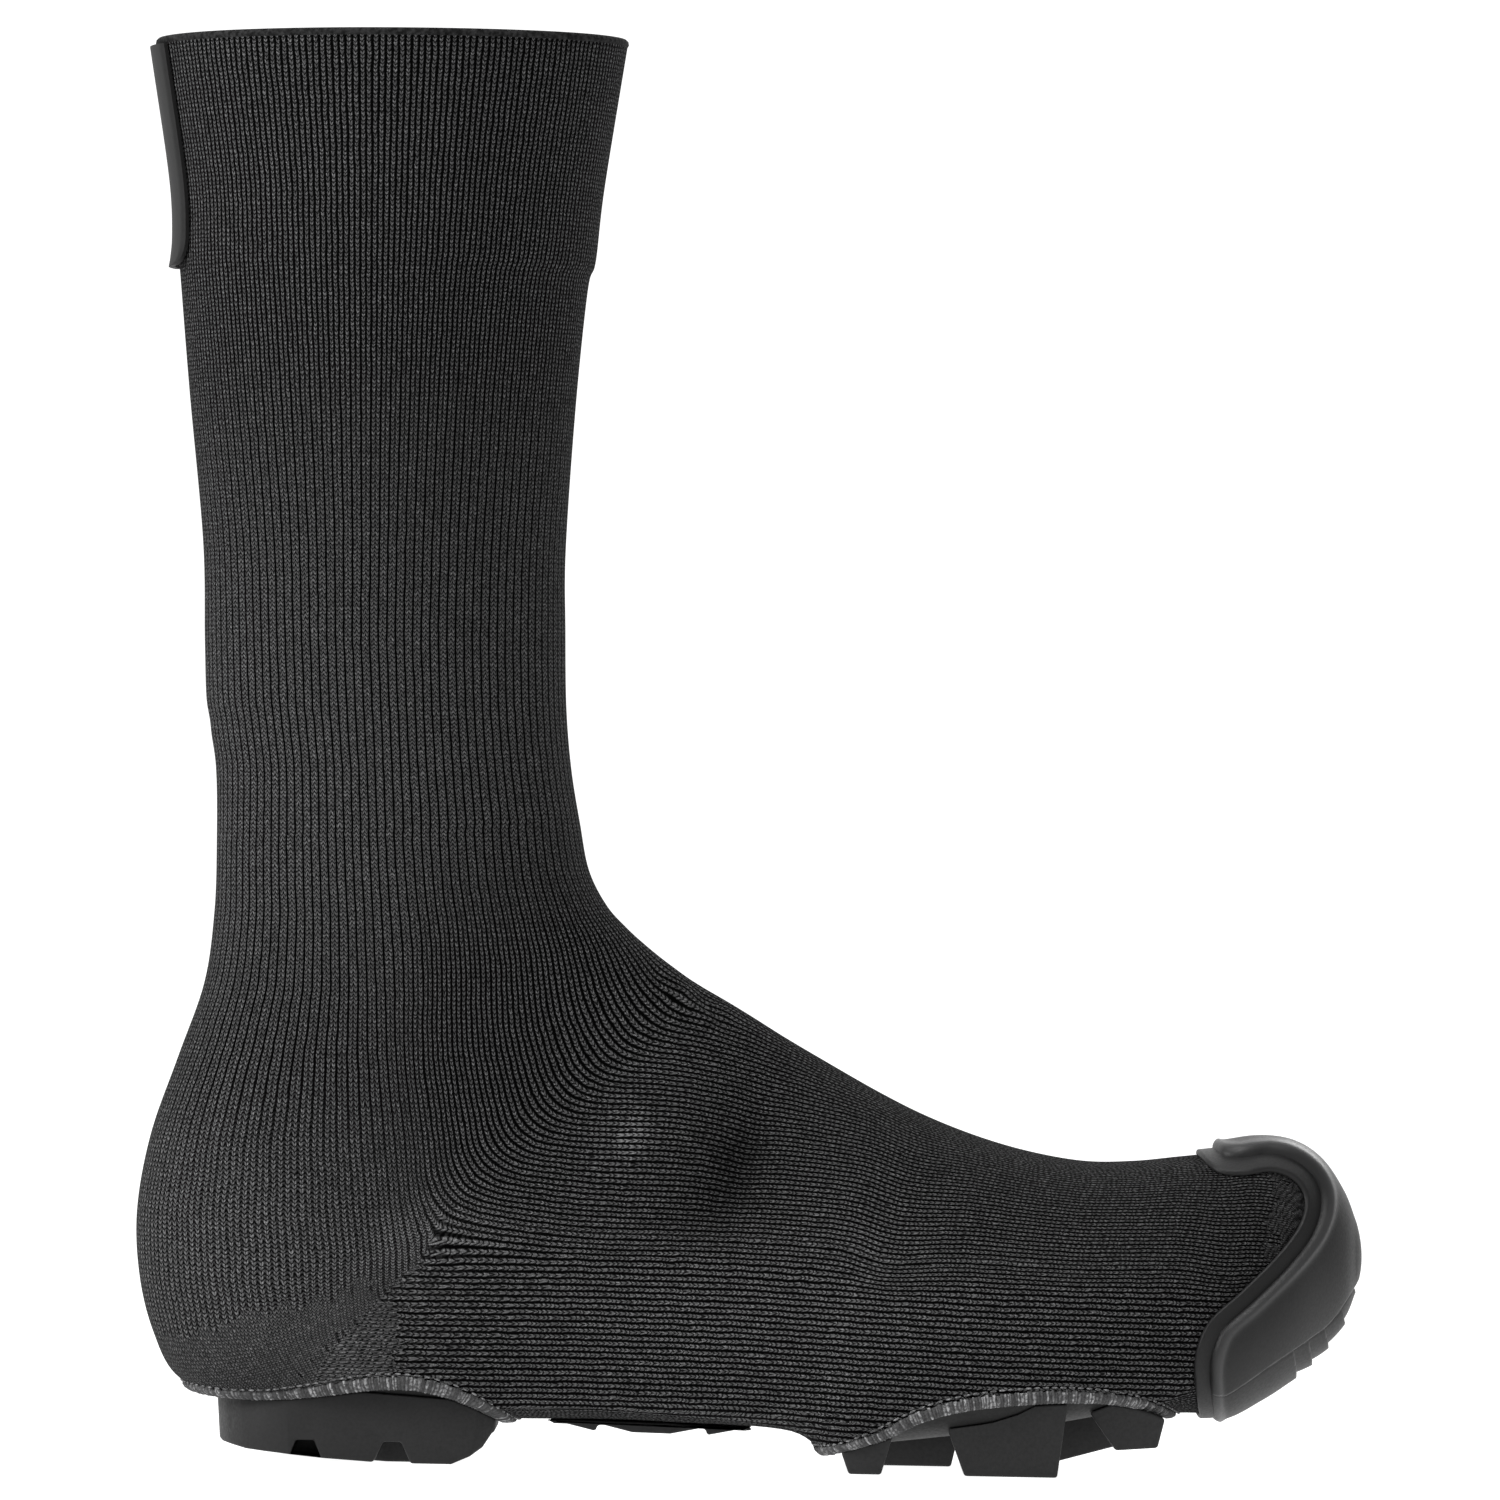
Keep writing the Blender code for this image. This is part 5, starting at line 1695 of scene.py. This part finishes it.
def joined_faces(name, distance):
    """A node group that joins a solid's loose faces and shades it smooth, apart from its sharp edges."""
    group = bpy.data.node_groups.new(name, "GeometryNodeTree")
    group.interface.new_socket("Geometry", in_out="INPUT", socket_type="NodeSocketGeometry")
    group.interface.new_socket("Geometry", in_out="OUTPUT", socket_type="NodeSocketGeometry")
    start = group.nodes.new("NodeGroupInput")
    end = group.nodes.new("NodeGroupOutput")
    join = group.nodes.new("GeometryNodeMergeByDistance")
    join.inputs["Distance"].default_value = distance
    angle = group.nodes.new("GeometryNodeInputMeshEdgeAngle")
    sharp = group.nodes.new("FunctionNodeCompare")
    sharp.operation = "GREATER_THAN"
    sharp.inputs["B"].default_value = SMOOTH_ANGLE
    shading = group.nodes.new("GeometryNodeSetMeshNormal")
    shading.mode = "SHARPNESS"
    group.links.new(angle.outputs["Unsigned Angle"], sharp.inputs["A"])
    group.links.new(sharp.outputs["Result"], shading.inputs["Edge Sharpness"])
    group.links.new(start.outputs[0], join.inputs["Geometry"])
    group.links.new(join.outputs["Geometry"], shading.inputs["Mesh"])
    group.links.new(shading.outputs["Mesh"], end.inputs[0])
    return group


join_exactly = joined_faces("joined_faces", JOIN_DISTANCE)
join_short_edges = joined_faces("joined_short_edges", SHORT_EDGE)
print("edges shorter than", SHORT_EDGE / MM, "mm are joined on the rubber")

# %% Soft edges
SOLE_BEVEL = 0.6 * MM
FLAT_ANGLE = math.radians(1.5)
BEVEL_STEPS = 3
SOLE_NODES = [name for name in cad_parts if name.startswith("lug_") or name.endswith("_tread")]


def add_nodes(solid, name, group):
    modifier = solid.modifiers.new(name, "NODES")
    modifier.node_group = group


def soften(solid, is_plate):
    """Round the edges of a solid with modifiers, which leave its own mesh as it is."""
    add_nodes(solid, "joined_faces", join_exactly if is_plate else join_short_edges)
    flat_faces = solid.modifiers.new("flat_faces", "DECIMATE")
    flat_faces.decimate_type = "DISSOLVE"
    flat_faces.angle_limit = FLAT_ANGLE
    edge_softener = solid.modifiers.new("soft_edges", "BEVEL")
    edge_softener.width = SOLE_BEVEL
    edge_softener.segments = BEVEL_STEPS
    edge_softener.limit_method = "ANGLE"
    edge_softener.angle_limit = SMOOTH_ANGLE
    edge_softener.use_clamp_overlap = is_plate
    add_nodes(solid, "smooth_shading", join_exactly)


for node_name in [*SOLE_NODES, "sole_plate"]:
    soften(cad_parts[node_name], node_name == "sole_plate")
print("softened:", len(SOLE_NODES), "rubber pieces and the plate")

# %% Sole finish
RUBBER_SHADES = ((0.007, 0.007, 0.0072), (0.014, 0.014, 0.0143))
# The plate is painted nearly black: its own dark plastic, with painted shade for the dark gap between the
# hems and the lugs.
PLATE_SHADES_WITH_PAINTED_SHADE = ((0.002, 0.002, 0.002), (0.005, 0.005, 0.0051))
SOLE_ROUGHNESS = 0.6


def rubber_finish(name, dark, light):
    material, tree, shader = new_finish(name, SOLE_ROUGHNESS, 0.3)
    cloud = noise(tree, 60.0, 4.0)
    grain = noise(tree, 1300.0, 3.0)
    paint(tree, shader, cloud, dark, light)
    dull = ease(tree, grain, *GRAIN_RANGE, SOLE_ROUGHNESS - 0.08, SOLE_ROUGHNESS + 0.1)
    tree.links.new(dull, shader.inputs["Roughness"])
    bump(tree, shader, grain, 0.06 * MM, 0.6)
    return material


sole_rubber = rubber_finish("sole_rubber", *RUBBER_SHADES)
plate_plastic = rubber_finish("plate_plastic", *PLATE_SHADES_WITH_PAINTED_SHADE)
for node_name in [*SOLE_NODES, "sole_plate"]:
    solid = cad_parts[node_name]
    solid.data.materials.clear()
    solid.data.materials.append(plate_plastic if node_name == "sole_plate" else sole_rubber)
print("sole pieces:", len(SOLE_NODES) + 1)
